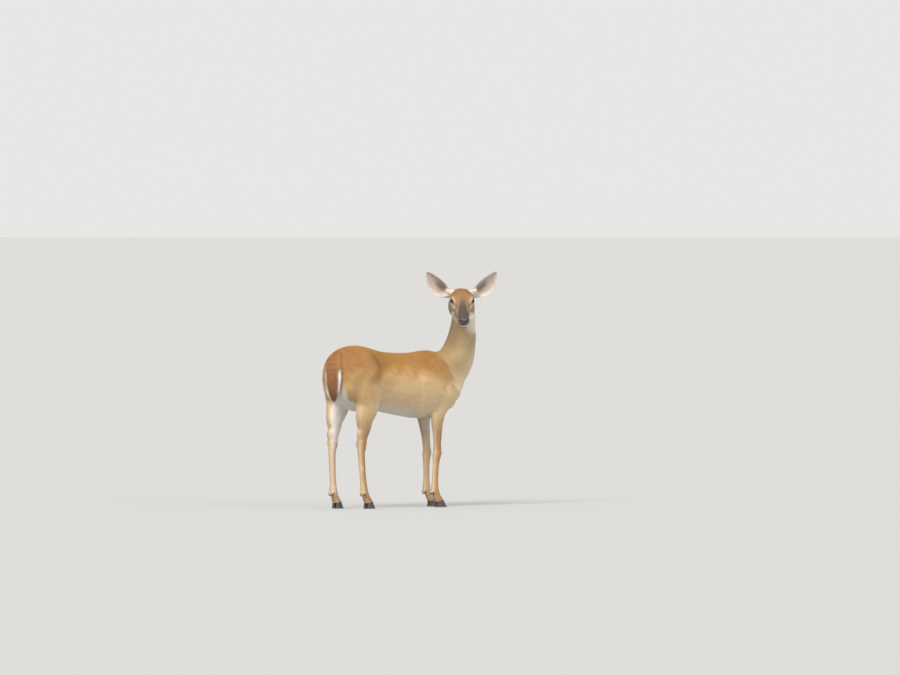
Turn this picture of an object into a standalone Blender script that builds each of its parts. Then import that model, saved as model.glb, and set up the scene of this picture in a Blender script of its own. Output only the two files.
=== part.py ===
"""A white-tailed deer doe, life size, standing square and looking back over her right shoulder.

Blender 4.5, metres, +Z up. The trunk points along +X and bends a little to her right, which is -Y.
The flesh is made whole, from tubes along the spine, neck, head and legs and from muscle masses, which
one remesh melts together. Thin cuts then part it into the sub-parts a person would name.
"""

import math
from collections import namedtuple

import bmesh
import bpy
from mathutils import Matrix, Vector

# Driving sizes, from the ground up.
TRUNK_BEND = 0.62         # turn of the spine for each metre along it, to her right, radians
HEAD_TURN = 111.0         # degrees from the spine's heading at the neck, to her right
HEAD_PITCH = 24.0         # degrees that the palate line falls towards the nose
POLL = (0.436, 0.0, 1.094)   # where the skull sits on the neck: along, across, up
EYE_PLACE = (0.103, 0.0460, 0.026)   # the left eye's centre, in the head's frame
EYE_RADIUS = 0.0165
EAR_WALL = 0.0050         # thickness of an ear with its hair
EAR_SOCKET_GAP = 0.0012
HOOF_LENGTH = 0.060
HOOF_WIDTH = 0.0225
CLEFT = 0.004             # between the two claws of a foot
CORONET = 0.034           # height at which a leg meets its hooves
CORONET_TILT = 14.0       # degrees that the coronet falls towards the heel

GAP = 0.0004              # between neighbouring solids
VOXEL = 0.003
SHARP = 50.0              # degrees between two faces that make an edge sharp
FLESH_TRIANGLES = 4900    # after thinning, before the cuts

# A tube's ring: centre along the spine, across to the left and up, half sizes towards its aim, away
# from it and sideways, how far the aim is turned, in degrees, and how much narrower its aim side is.
Ring = namedtuple("Ring", "along across up fore aft side turn pinch", defaults=(0.0, 0.0))

Paint = namedtuple("Paint", "colour roughness")
PAINTS = {
    "coat": Paint((0.50, 0.24, 0.085), 0.75),
    "coat_pale": Paint((0.56, 0.36, 0.18), 0.75),
    "ear": Paint((0.42, 0.32, 0.25), 0.75),
    "eye": Paint((0.02, 0.012, 0.008), 0.08),
    "nose": Paint((0.03, 0.028, 0.027), 0.35),
    "hoof": Paint((0.035, 0.03, 0.027), 0.45),
}


# ---------------------------------------------------------------- scene and meshes


def clear_scene():
    for obj in list(bpy.data.objects):
        bpy.data.objects.remove(obj)


def paint(name):
    """The named material, made once."""
    if name in bpy.data.materials:
        return bpy.data.materials[name]
    material = bpy.data.materials.new(name)
    material.use_nodes = True
    shader = material.node_tree.nodes["Principled BSDF"]
    shader.inputs["Base Color"].default_value = (*PAINTS[name].colour, 1.0)
    shader.inputs["Roughness"].default_value = PAINTS[name].roughness
    shader.inputs["Metallic"].default_value = 0.0
    return material


def add_object(name, mesh, finish):
    obj = bpy.data.objects.new(name, mesh)
    bpy.context.scene.collection.objects.link(obj)
    mesh.materials.clear()
    mesh.materials.append(paint(finish))
    return obj


def mesh_from(name, form):
    """The bmesh as a mesh, its faces turned outwards."""
    bmesh.ops.recalc_face_normals(form, faces=form.faces)
    mesh = bpy.data.meshes.new(name)
    form.to_mesh(mesh)
    form.free()
    return mesh


def evaluated(obj):
    """The object's mesh with its modifiers applied."""
    graph = bpy.context.evaluated_depsgraph_get()
    return bpy.data.meshes.new_from_object(obj.evaluated_get(graph))


def apply_modifiers(obj):
    mesh = evaluated(obj)
    obj.modifiers.clear()
    obj.data = mesh


def discard(*objects):
    for obj in objects:
        bpy.data.objects.remove(obj)


# ---------------------------------------------------------------- frames


def on_spine(along, across, up):
    """A point beside the bent spine, whose ground line is an arc through the origin."""
    heading = -TRUNK_BEND * along
    x = math.sin(TRUNK_BEND * along) / TRUNK_BEND
    y = (math.cos(TRUNK_BEND * along) - 1) / TRUNK_BEND
    return Vector((x - across * math.sin(heading), y + across * math.cos(heading), up))


def spine_heading(along, turn=0.0):
    """The way a ring at this place faces, level, turned to her right by so many degrees."""
    angle = -TRUNK_BEND * along - math.radians(turn)
    return Vector((math.cos(angle), math.sin(angle), 0.0))


def head_frame():
    """Head to world: x runs from the poll towards the nose, y to her left."""
    heading = -TRUNK_BEND * POLL[0] - math.radians(HEAD_TURN)
    turned = Matrix.Rotation(heading, 4, "Z") @ Matrix.Rotation(math.radians(HEAD_PITCH), 4, "Y")
    return Matrix.Translation(on_spine(*POLL)) @ turned


# ---------------------------------------------------------------- tubes and masses


def between(rows, steps):
    """A smooth line through the rows, with so many steps from each to the next."""
    rows = [Vector(row) for row in rows]
    ends = [2 * rows[0] - rows[1], *rows, 2 * rows[-1] - rows[-2]]
    found = []
    for a, b, c, d in zip(ends, ends[1:], ends[2:], ends[3:]):
        for step in range(steps):
            t = step / steps
            found.append(
                0.5 * (2 * b + (c - a) * t + (2 * a - 5 * b + 4 * c - d) * t**2 + (3 * (b - c) + d - a) * t**3)
            )
    return [*found, rows[-1]]


def skin_rings(form, loops):
    """Joins rings of vertices into a closed tube, with a flat cap at each end."""
    for low, high in zip(loops, loops[1:]):
        for k in range(len(low)):
            form.faces.new((low[k - 1], low[k], high[k], high[k - 1]))
    form.faces.new(loops[0])
    form.faces.new(reversed(loops[-1]))


def tube(form, rings, place, aim, sides=24, steps=3):
    """A closed tube through the rings, given by place(along, across, up), fore side towards aim(ring)."""
    rows = [Ring(*row) for row in between([Vector(ring) for ring in rings], steps)]
    centres = [place(row.along, row.across, row.up) for row in rows]
    loops = []
    for i, row in enumerate(rows):
        run = (centres[min(i + 1, len(rows) - 1)] - centres[max(i - 1, 0)]).normalized()
        fore = aim(row)
        fore = (fore - run * fore.dot(run)).normalized()
        sideways = run.cross(fore)
        loop = []
        for k in range(sides):
            angle = math.tau * k / sides
            c, s = math.cos(angle), math.sin(angle)
            reach = row.fore if c > 0 else row.aft
            loop.append(form.verts.new(
                centres[i] + fore * reach * c + sideways * row.side * s * (1 - row.pinch * c)
            ))
        loops.append(loop)
    skin_rings(form, loops)


def mass(form, centre, radii, turn=(0, 0, 0), frame=None, fineness=24):
    """A muscle or bony swelling: an ellipsoid, turned by degrees about its own axes."""
    spin = Matrix.Rotation(math.radians(turn[2]), 4, "Z") @ Matrix.Rotation(math.radians(turn[1]), 4, "Y")
    spin = spin @ Matrix.Rotation(math.radians(turn[0]), 4, "X")
    matrix = (frame or Matrix.Identity(4)) @ Matrix.Translation(centre) @ spin @ Matrix.Diagonal((*radii, 1))
    bmesh.ops.create_uvsphere(form, u_segments=fineness, v_segments=fineness // 2, radius=1.0, matrix=matrix)


def body_mass(form, along, across, up, radii, lean=0.0):
    """A mass beside the spine, leaning back by so many degrees."""
    heading = math.degrees(-TRUNK_BEND * along)
    mass(form, on_spine(along, across, up), radii, (0, -lean, heading))


# ---------------------------------------------------------------- the flesh

TRUNK = [   # the aim is up
    Ring(-0.428, 0, 0.690, 0.030, 0.030, 0.030),
    Ring(-0.420, 0, 0.690, 0.075, 0.075, 0.070),
    Ring(-0.395, 0, 0.690, 0.118, 0.115, 0.103),
    Ring(-0.345, 0, 0.690, 0.146, 0.150, 0.125),
    Ring(-0.265, 0, 0.690, 0.158, 0.166, 0.134, 0, 0.04),
    Ring(-0.180, 0, 0.685, 0.150, 0.171, 0.130, 0, 0.10),
    Ring(-0.080, 0, 0.675, 0.139, 0.173, 0.130, 0, 0.14),
    Ring(0.030, 0, 0.668, 0.138, 0.185, 0.139, 0, 0.17),
    Ring(0.130, 0, 0.662, 0.146, 0.196, 0.142, 0, 0.22),
    Ring(0.215, 0, 0.660, 0.159, 0.198, 0.133, 0, 0.30),
    Ring(0.290, 0, 0.660, 0.150, 0.186, 0.116, 0, 0.32),
    Ring(0.360, 0, 0.652, 0.125, 0.150, 0.094, 0, 0.25),
    Ring(0.410, 0, 0.640, 0.085, 0.100, 0.066, 0, 0.15),
    Ring(0.436, 0, 0.630, 0.040, 0.045, 0.034),
]
NECK = [    # the aim is the throat
    Ring(0.240, 0, 0.650, 0.120, 0.120, 0.092),
    Ring(0.330, 0, 0.705, 0.128, 0.108, 0.086),
    Ring(0.396, 0, 0.775, 0.108, 0.086, 0.071, 4),
    Ring(0.428, 0, 0.855, 0.086, 0.073, 0.060, 16),
    Ring(0.443, 0, 0.935, 0.072, 0.064, 0.056, 36),
    Ring(0.448, 0, 1.005, 0.063, 0.060, 0.056, 62),
    Ring(0.445, 0, 1.060, 0.053, 0.055, 0.053, 90),
    Ring(0.441, 0, 1.095, 0.030, 0.040, 0.038, 108),
]
FORELEG = [  # the aim is forward
    Ring(0.330, 0.078, 0.640, 0.070, 0.075, 0.044),
    Ring(0.290, 0.082, 0.570, 0.062, 0.068, 0.042),
    Ring(0.262, 0.080, 0.505, 0.046, 0.052, 0.034),
    Ring(0.258, 0.076, 0.450, 0.034, 0.036, 0.027),
    Ring(0.262, 0.072, 0.380, 0.026, 0.025, 0.0215),
    Ring(0.264, 0.070, 0.325, 0.0225, 0.021, 0.0205),
    Ring(0.266, 0.069, 0.290, 0.0245, 0.0215, 0.0220),
    Ring(0.264, 0.069, 0.262, 0.0205, 0.0215, 0.0190),
    Ring(0.262, 0.068, 0.225, 0.0155, 0.0175, 0.0150),
    Ring(0.260, 0.068, 0.150, 0.0145, 0.0165, 0.0140),
    Ring(0.259, 0.068, 0.112, 0.0165, 0.0190, 0.0170),
    Ring(0.262, 0.068, 0.088, 0.0185, 0.0205, 0.0190),
    Ring(0.272, 0.068, 0.062, 0.0170, 0.0170, 0.0185),
    Ring(0.284, 0.068, 0.038, 0.0205, 0.0185, 0.0220),
    Ring(0.290, 0.068, 0.026, 0.0205, 0.0185, 0.0220),
]
HINDLEG = [  # the aim is forward
    Ring(-0.285, 0.072, 0.740, 0.085, 0.095, 0.050),
    Ring(-0.278, 0.084, 0.660, 0.105, 0.112, 0.054),
    Ring(-0.268, 0.092, 0.590, 0.098, 0.100, 0.052),
    Ring(-0.272, 0.092, 0.530, 0.074, 0.080, 0.046),
    Ring(-0.294, 0.089, 0.470, 0.055, 0.064, 0.038),
    Ring(-0.299, 0.087, 0.420, 0.042, 0.046, 0.0295),
    Ring(-0.309, 0.084, 0.380, 0.0310, 0.0340, 0.0235),
    Ring(-0.318, 0.082, 0.350, 0.0290, 0.0290, 0.0225),
    Ring(-0.320, 0.080, 0.320, 0.0270, 0.0235, 0.0210),
    Ring(-0.320, 0.078, 0.280, 0.0190, 0.0200, 0.0165),
    Ring(-0.313, 0.077, 0.200, 0.0165, 0.0185, 0.0145),
    Ring(-0.306, 0.076, 0.130, 0.0165, 0.0190, 0.0150),
    Ring(-0.303, 0.076, 0.098, 0.0190, 0.0205, 0.0190),
    Ring(-0.297, 0.076, 0.078, 0.0180, 0.0190, 0.0190),
    Ring(-0.286, 0.076, 0.058, 0.0170, 0.0170, 0.0185),
    Ring(-0.275, 0.076, 0.038, 0.0205, 0.0185, 0.0220),
    Ring(-0.269, 0.076, 0.026, 0.0205, 0.0185, 0.0220),
]
# How far each foot is set forward of the place that its leg's rings give.
STEP = {"foreleg_left": 0.014, "foreleg_right": -0.020, "hindleg_left": -0.040, "hindleg_right": 0.034}

SKULL = [   # in the head's frame; the aim is up
    Ring(-0.036, 0, 0.010, 0.010, 0.014, 0.014),
    Ring(-0.026, 0, 0.012, 0.026, 0.038, 0.038),
    Ring(0.000, 0, 0.012, 0.037, 0.048, 0.053),
    Ring(0.040, 0, 0.012, 0.0475, 0.054, 0.0605, 0, 0.06),
    Ring(0.078, 0, 0.010, 0.0465, 0.056, 0.0605, 0, 0.10),
    Ring(0.112, 0, 0.002, 0.0420, 0.052, 0.0520, 0, 0.12),
    Ring(0.150, 0, -0.008, 0.0350, 0.044, 0.0410, 0, 0.12),
    Ring(0.190, 0, -0.016, 0.0295, 0.036, 0.0335, 0, 0.10),
    Ring(0.226, 0, -0.021, 0.0260, 0.029, 0.0310, 0, 0.06),
    Ring(0.250, 0, -0.022, 0.0240, 0.028, 0.0300),
    Ring(0.265, 0, -0.022, 0.0195, 0.022, 0.0245),
    Ring(0.273, 0, -0.022, 0.0090, 0.010, 0.0120),
]
JAW = [
    Ring(0.012, 0, -0.036, 0.030, 0.026, 0.032),
    Ring(0.045, 0, -0.046, 0.040, 0.038, 0.0430),
    Ring(0.080, 0, -0.050, 0.042, 0.036, 0.0430),
    Ring(0.120, 0, -0.053, 0.040, 0.026, 0.0350),
    Ring(0.165, 0, -0.053, 0.032, 0.0185, 0.0290),
    Ring(0.205, 0, -0.051, 0.022, 0.0165, 0.0245),
    Ring(0.232, 0, -0.049, 0.016, 0.0160, 0.0205),
    Ring(0.247, 0, -0.046, 0.008, 0.0090, 0.0110),
]
# One ear in the head's frame: x, y, z of its middle line, half width, half the arc its wall spans.
Leaf = namedtuple("Leaf", "x y z half curl")
EAR = [
    Leaf(0.010, 0.034, 0.024, 0.0180, 172),
    Leaf(0.003, 0.056, 0.021, 0.0200, 168),
    Leaf(-0.004, 0.079, 0.021, 0.0260, 132),
    Leaf(-0.010, 0.100, 0.033, 0.0400, 84),
    Leaf(-0.014, 0.121, 0.054, 0.0460, 64),
    Leaf(-0.015, 0.142, 0.081, 0.0410, 58),
    Leaf(-0.013, 0.161, 0.110, 0.0260, 56),
    Leaf(-0.010, 0.175, 0.131, 0.0125, 52),
    Leaf(-0.009, 0.180, 0.138, 0.0040, 50),
]


def leg_rings(rings, side, step):
    """The rings of one leg, its foot moved forward by step, and less so higher up."""
    top = rings[0].up
    lean = [step * (1 - (ring.up - CORONET) / (top - CORONET)) for ring in rings]
    return [
        ring._replace(along=ring.along + shift, across=side * ring.across)
        for ring, shift in zip(rings, lean)
    ]


def add_trunk_and_neck(form):
    tube(form, TRUNK, on_spine, lambda ring: Vector((0, 0, 1)), sides=32)
    tube(form, NECK, on_spine, lambda ring: spine_heading(ring.along, ring.turn), sides=28)
    for side in (1, -1):
        body_mass(form, 0.270, 0.074 * side, 0.665, (0.086, 0.044, 0.116), 22)    # shoulder blade
        body_mass(form, 0.335, 0.058 * side, 0.610, (0.070, 0.044, 0.070))        # point of the shoulder
        body_mass(form, -0.262, 0.080 * side, 0.690, (0.118, 0.064, 0.120), -16)  # haunch
        body_mass(form, -0.352, 0.062 * side, 0.665, (0.066, 0.058, 0.110))       # buttock
        body_mass(form, -0.235, 0.094 * side, 0.575, (0.060, 0.042, 0.075), -24)  # stifle
    body_mass(form, 0.305, 0.0, 0.555, (0.097, 0.074, 0.058))                     # brisket
    body_mass(form, -0.240, 0.0, 0.532, (0.072, 0.055, 0.030))                    # udder


def add_legs(form):
    for name, step in STEP.items():
        rings = FORELEG if name.startswith("fore") else HINDLEG
        side = 1 if name.endswith("left") else -1
        tube(form, leg_rings(rings, side, step), on_spine, lambda ring: spine_heading(ring.along))
        hind = name.startswith("hind")
        if hind:   # the bone that the Achilles tendon pulls on
            body_mass(form, -0.342 + step * 0.52, 0.083 * side, 0.378, (0.0125, 0.0120, 0.034), 8)
        heel = (-0.318, 0.076) if hind else (0.244, 0.068)
        for spread in (0.010, -0.010):   # dewclaws
            body_mass(form, heel[0] + step * 0.95, heel[1] * side + spread, 0.080, (0.0080, 0.0065, 0.0130), 20)


def add_head(form):
    frame = head_frame()
    up = frame.to_3x3() @ Vector((0, 0, 1))

    def in_head(x, y, z):
        return frame @ Vector((x, y, z))

    tube(form, SKULL, in_head, lambda ring: up, sides=28)
    tube(form, JAW, in_head, lambda ring: up)
    for side in (1, -1):
        mass(form, (0.052, 0.0435 * side, -0.026), (0.056, 0.0240, 0.052), (0, 24, 0), frame)    # cheek
        mass(form, (0.084, 0.0415 * side, 0.0200), (0.046, 0.0230, 0.0300), (0, 20, 0), frame)  # orbit
        mass(form, (0.004, 0.0440 * side, 0.0200), (0.026, 0.0180, 0.0260), (0, 0, 0), frame)   # ear's root
        mass(form, (0.244, 0.0180 * side, -0.0230), (0.019, 0.0135, 0.0150), (0, 0, 0), frame)  # nostril's wing
        mass(form, (0.212, 0.0190 * side, -0.0380), (0.034, 0.0125, 0.0120), (0, 8, 0), frame)  # upper lip


def height_weight(co, low, high):
    return min(1.0, max(0.0, (co.z - low) / (high - low)))


def melt(obj):
    """Remeshes the overlapping tubes into one skin, and smooths it, least on the legs and face."""
    remesh = obj.modifiers.new("melt", "REMESH")
    remesh.mode = "VOXEL"
    remesh.voxel_size = VOXEL
    apply_modifiers(obj)
    to_head = head_frame().inverted()
    smoothing = obj.vertex_groups.new(name="smoothing")
    for vertex in obj.data.vertices:
        weight = 0.05 + 0.95 * height_weight(vertex.co, 0.40, 0.56)
        if vertex.co.z > 0.9:
            face = to_head @ vertex.co
            weight *= 1.0 - 0.86 * min(1.0, max(0.0, (face.x + 0.02) / 0.05))
        smoothing.add([vertex.index], weight, "REPLACE")
    smooth = obj.modifiers.new("smooth", "SMOOTH")
    smooth.factor = 0.5
    smooth.iterations = 60
    smooth.vertex_group = "smoothing"
    apply_modifiers(obj)


def thin_out(obj):
    """Collapses the fine skin to few triangles, keeping more of them on the head and the lower legs."""
    to_head = head_frame().inverted()
    coarse = obj.vertex_groups.new(name="coarse")
    for vertex in obj.data.vertices:
        face = to_head @ vertex.co
        on_head = vertex.co.z > 0.9 and face.x > -0.03 and face.z > -0.10
        weight = 0.78 if on_head else 0.92 if vertex.co.z < 0.40 else 1.0
        coarse.add([vertex.index], weight, "REPLACE")
    decimate = obj.modifiers.new("thin out", "DECIMATE")
    decimate.use_collapse_triangulate = True
    decimate.vertex_group = "coarse"
    decimate.vertex_group_factor = 0.3
    decimate.ratio = FLESH_TRIANGLES / (2 * len(obj.data.polygons))
    apply_modifiers(obj)


def flesh():
    """The whole animal without its ears, tail, hooves and eyes, as one closed skin."""
    form = bmesh.new()
    add_trunk_and_neck(form)
    add_legs(form)
    add_head(form)
    obj = add_object("flesh", mesh_from("flesh", form), "coat")
    melt(obj)
    thin_out(obj)
    return obj


# ---------------------------------------------------------------- ears, tail, eyes, hooves


def ear_rings():
    """(centre, radius, half its arc, half its wall, towards its upper edge, the way it opens) of each ring."""
    leaves = [Leaf(*row) for row in between([Vector(leaf) for leaf in EAR], 2)]
    line = [Vector(leaf[:3]) for leaf in leaves]
    found = []
    for i, leaf in enumerate(leaves):
        run = (line[min(i + 1, len(line) - 1)] - line[max(i - 1, 0)]).normalized()
        facing = Vector((1.0, 0.16, 0.05))
        facing = (facing - run * facing.dot(run)).normalized()
        curl = math.radians(leaf.curl)
        radius = leaf.half / math.sin(min(curl, math.pi / 2))
        wall = EAR_WALL * (0.62 - 0.22 * i / (len(leaves) - 1))
        opened = min(1.0, (172 - leaf.curl) / 90)
        centre = line[i] + facing * radius * (math.cos(curl) + 0.30) * opened
        found.append((centre, radius, curl, wall, run.cross(facing), facing))
    return found


def on_head_side(form, side):
    """Moves a form that was made for the left side of the head's frame to either side of the head."""
    if side < 0:
        bmesh.ops.scale(form, vec=(1, -1, 1), verts=form.verts)
    bmesh.ops.transform(form, matrix=head_frame(), verts=form.verts)
    return form


def ear_form(side):
    """A cupped leaf: each ring is a crescent, nearly closed at the root and open further out."""
    around = 8
    form = bmesh.new()
    loops = []
    for centre, radius, curl, wall, across, facing in ear_rings():
        back, front = [], []
        for k in range(around):
            share = 2 * k / (around - 1) - 1
            out = across * math.sin(curl * share) - facing * math.cos(curl * share)
            half = wall * (1 - 0.5 * abs(share) ** 4)
            back.append(form.verts.new(centre + out * (radius + half)))
            front.append(form.verts.new(centre + out * max(radius - half, 0.0008)))
        loops.append(back + front[::-1])
    skin_rings(form, loops)
    return on_head_side(form, side)


def ear_socket(side):
    """The hole in the head for an ear's root: full rings, clear of the ear all round."""
    around = 18
    form = bmesh.new()
    loops = []
    for centre, radius, curl, wall, across, facing in ear_rings()[:6]:
        reach = radius + wall + EAR_SOCKET_GAP
        inner = across.cross(facing) * (EAR_SOCKET_GAP if not loops else 0.0)
        loops.append([
            form.verts.new(centre + inner + (across * math.sin(angle) - facing * math.cos(angle)) * reach)
            for angle in (math.tau * k / around for k in range(around))
        ])
    skin_rings(form, loops)
    return on_head_side(form, side)


def tail_form(grow=0.0):
    """Hangs from the croup, flat and broad, and ends in a point."""
    rings = [
        Ring(-0.372, 0, 0.812, 0.012, 0.012, 0.020),
        Ring(-0.398, 0, 0.802, 0.018, 0.014, 0.028),
        Ring(-0.424, -0.002, 0.778, 0.020, 0.014, 0.037),
        Ring(-0.440, -0.005, 0.735, 0.021, 0.013, 0.047),
        Ring(-0.446, -0.007, 0.685, 0.020, 0.013, 0.050),
        Ring(-0.444, -0.006, 0.630, 0.017, 0.011, 0.041),
        Ring(-0.438, -0.003, 0.585, 0.011, 0.008, 0.024),
        Ring(-0.434, 0, 0.560, 0.004, 0.003, 0.006),
    ]
    grown = [ring._replace(fore=ring.fore + grow, aft=ring.aft + grow, side=ring.side + grow) for ring in rings]
    grown[0] = grown[0]._replace(along=grown[0].along + grow)
    form = bmesh.new()
    tube(form, grown, on_spine, lambda ring: -spine_heading(ring.along), sides=12, steps=2)
    return form


def eye_form(side, grow=0.0):
    form = bmesh.new()
    x, y, z = EYE_PLACE
    matrix = head_frame() @ Matrix.Translation((x, y * side, z))
    bmesh.ops.create_icosphere(form, subdivisions=2, radius=EYE_RADIUS + grow, matrix=matrix)
    return form


def nose_form(grow=0.0):
    """The bare pad round the nostrils: what lies inside this form is the nose."""
    form = bmesh.new()
    radii = Vector((0.021, 0.0270, 0.0215)) + Vector((grow, grow, grow))
    mass(form, (0.267, 0, -0.016), radii, (0, 14, 0), head_frame(), fineness=14)
    return form


def claw_rings(length, width):
    """Sole, wall and top of one claw, as (height, reach forward, reach back, half width)."""
    return [
        (0.0, 0.62 * length, 0.38 * length, 0.50 * width),
        (0.3 * CORONET, 0.54 * length, 0.37 * length, 0.50 * width),
        (0.7 * CORONET, 0.41 * length, 0.345 * length, 0.47 * width),
        (1.5 * CORONET, 0.22 * length, 0.30 * length, 0.42 * width),
    ]


def claw_form(centre, heading, outward):
    """One claw of a cloven hoof: flat inside, rounded outside, pointed in front."""
    form = bmesh.new()
    aside = outward * Vector((-heading.y, heading.x, 0))
    points = 12
    loops = []
    for height, ahead, behind, half in claw_rings(HOOF_LENGTH, HOOF_WIDTH):
        loop = []
        for k in range(points):
            angle = math.tau * k / points
            c, s = math.cos(angle), math.sin(angle)
            run = c * (ahead if c > 0 else behind)
            breadth = half * (1 + s * (1 - 0.55 * max(0.0, c) ** 2) if s > 0 else 1 + s)
            middle = centre + aside * CLEFT / 2
            loop.append(form.verts.new(middle + heading * run + aside * breadth + Vector((0, 0, height))))
        loops.append(loop)
    skin_rings(form, loops)
    return form


def cut_plane(form, point, normal):
    """Keeps what lies behind the plane, and closes the cut."""
    geometry = [*form.verts, *form.edges, *form.faces]
    found = bmesh.ops.bisect_plane(
        form, geom=geometry, dist=1e-7, plane_co=point, plane_no=normal, clear_outer=True
    )
    edges = [part for part in found["geom_cut"] if isinstance(part, bmesh.types.BMEdge)]
    bmesh.ops.contextual_create(form, geom=edges)


def foot_places():
    """Leg name to (centre of its sole, heading)."""
    places = {}
    for name, step in STEP.items():
        ring = (FORELEG if name.startswith("fore") else HINDLEG)[-1]
        side = 1 if name.endswith("left") else -1
        along = ring.along + step
        places[name] = (on_spine(along, side * ring.across, 0.0), spine_heading(along))
    return places


def coronet_plane(centre, heading):
    """A point on the coronet's plane and its upward normal, which leans forward as the plane falls back."""
    tilt = math.radians(CORONET_TILT)
    return centre + Vector((0, 0, CORONET)), heading * -math.sin(tilt) + Vector((0, 0, math.cos(tilt)))


# ---------------------------------------------------------------- parting the flesh


def boolean(obj, other, operation):
    modifier = obj.modifiers.new(operation.lower(), "BOOLEAN")
    modifier.operation = operation
    modifier.object = other
    modifier.solver = "EXACT"
    apply_modifiers(obj)


def helper(name, form):
    """A cutter: never a part."""
    obj = add_object(name, mesh_from(name, form), "coat")
    obj.hide_render = True
    obj.display_type = "WIRE"
    return obj


def carve(obj, form):
    """Takes the form's shape out of the object."""
    cutter = helper("cutter", form)
    boolean(obj, cutter, "DIFFERENCE")
    discard(cutter)


def drop_scraps(obj):
    """Keeps the largest of the closed bodies that the cuts have left."""
    form = bmesh.new()
    form.from_mesh(obj.data)
    bodies = []
    unseen = set(form.verts)
    while unseen:
        body = set()
        found = {next(iter(unseen))}
        while found:
            body |= found
            found = {edge.other_vert(vert) for vert in found for edge in vert.link_edges} - body
        bodies.append(body)
        unseen -= body
    largest = max(bodies, key=len)
    scraps = [vert for body in bodies if body is not largest for vert in body]
    bmesh.ops.delete(form, geom=scraps, context="VERTS")
    form.to_mesh(obj.data)
    form.free()


def cell_form(low, high, planes, frame, grow):
    """A box with corners cut off by (point, outward normal) planes, all grown by a margin."""
    form = bmesh.new()
    low, high = Vector(low) - Vector((grow,) * 3), Vector(high) + Vector((grow,) * 3)
    size = high - low
    matrix = Matrix.Translation((low + high) / 2) @ Matrix.Diagonal((*size, 1))
    bmesh.ops.create_cube(form, size=1.0, matrix=matrix)
    for point, normal in planes:
        outward = Vector(normal).normalized()
        cut_plane(form, Vector(point) + outward * grow, outward)
    bmesh.ops.transform(form, matrix=frame, verts=form.verts)
    return form


def part_off(rest, name, finish, shape):
    """Moves what lies inside shape(grow) from rest into a new part, with a gap between the two."""
    part = add_object(name, rest.data.copy(), finish)
    keep = helper("keep", shape(0.0))
    boolean(part, keep, "INTERSECT")
    discard(keep)
    carve(rest, shape(GAP))
    part.data.materials.clear()
    part.data.materials.append(paint(finish))
    return part


def pelvis_frame(along):
    heading = math.atan2(spine_heading(along).y, spine_heading(along).x)
    return Matrix.Translation(on_spine(along, 0, 0)) @ Matrix.Rotation(heading, 4, "Z")


def leg_cells(name):
    """(sub-part, cell as a function of its margin) for one leg, lowest first. Each frame is the spine's."""
    fore = name.startswith("fore")
    side = 1 if name.endswith("left") else -1
    frame = pelvis_frame(0.26 if fore else -0.28)
    joint_height = 0.288 if fore else 0.352
    inner = 0.034 if fore else 0.0
    outer = 0.24
    low_y, high_y = (inner, outer) if side > 0 else (-outer, -inner)
    if fore:   # across the elbow, higher in front
        top = [((0.0, 0, 0.505), (-0.34, 0, 0.94))]
    else:      # from the flank's fold back to below the tail
        top = [((0.0, 0, 0.585), (0.44, 0, 0.90))]
    reach = 0.24

    def lower(grow):
        return cell_form((-reach, low_y, -0.1), (reach, high_y, joint_height), [], frame, grow)

    def upper(grow):
        return cell_form((-reach, low_y, joint_height - 0.1), (reach, high_y, 0.9), top, frame, grow)

    return [(name + "_lower", lower), (name + "_upper", upper)]


def head_cell(grow):
    behind = ((-0.045, 0, 0.045), (-0.855, 0, -0.52))     # nape to the angle of the jaw
    return cell_form((-0.2, -0.15, -0.094), (0.35, 0.15, 0.25), [behind], head_frame(), grow)


def neck_cell(grow):
    frame = pelvis_frame(0.36)
    base = ((0, 0, 0.745), (-0.66, 0, -0.75))             # withers to the breast
    return cell_form((-0.3, -0.3, 0.55), (0.4, 0.3, 1.3), [base], frame, grow)


def part_flesh(body):
    """Cuts the flesh into the named sub-parts. What is left at the end is the trunk."""
    parts = [part_off(body, "nose", "nose", nose_form)]
    parts.append(part_off(body, "head", "coat", head_cell))
    parts.append(part_off(body, "neck", "coat_pale", neck_cell))
    for name in STEP:
        for part_name, cell in leg_cells(name):
            parts.append(part_off(body, part_name, "coat_pale", cell))
    body.name = "trunk"
    return [*parts, body]


def build():
    clear_scene()
    body = flesh()
    feet = foot_places()
    for centre, heading in feet.values():     # level off each leg at its coronet
        point, normal = coronet_plane(centre, heading)
        below = bmesh.new()
        bmesh.ops.create_cube(below, size=0.16, matrix=Matrix.Translation(point - normal * 0.08)
                              @ normal.to_track_quat("Z", "Y").to_matrix().to_4x4())
        carve(body, below)
    parts = {part.name: part for part in part_flesh(body)}

    for side, word in ((1, "left"), (-1, "right")):
        carve(parts["head"], ear_socket(side))
        carve(parts["head"], eye_form(side, GAP))
        parts["ear_" + word] = add_object("ear_" + word, mesh_from("ear", ear_form(side)), "ear")
        parts["eye_" + word] = add_object("eye_" + word, mesh_from("eye", eye_form(side)), "eye")
    for name in ("trunk", "hindleg_left_upper", "hindleg_right_upper"):
        carve(parts[name], tail_form(GAP))
    parts["tail"] = add_object("tail", mesh_from("tail", tail_form()), "coat")
    for part in parts.values():
        drop_scraps(part)

    for name, (centre, heading) in feet.items():
        point, normal = coronet_plane(centre, heading)
        for outward, word in ((1, "left"), (-1, "right")):
            form = claw_form(centre, heading, outward)
            cut_plane(form, point - normal * GAP, normal)
            claw = name.replace("leg", "hoof") + "_" + word + "_claw"
            parts[claw] = add_object(claw, mesh_from(claw, form), "hoof")
    return parts


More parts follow.
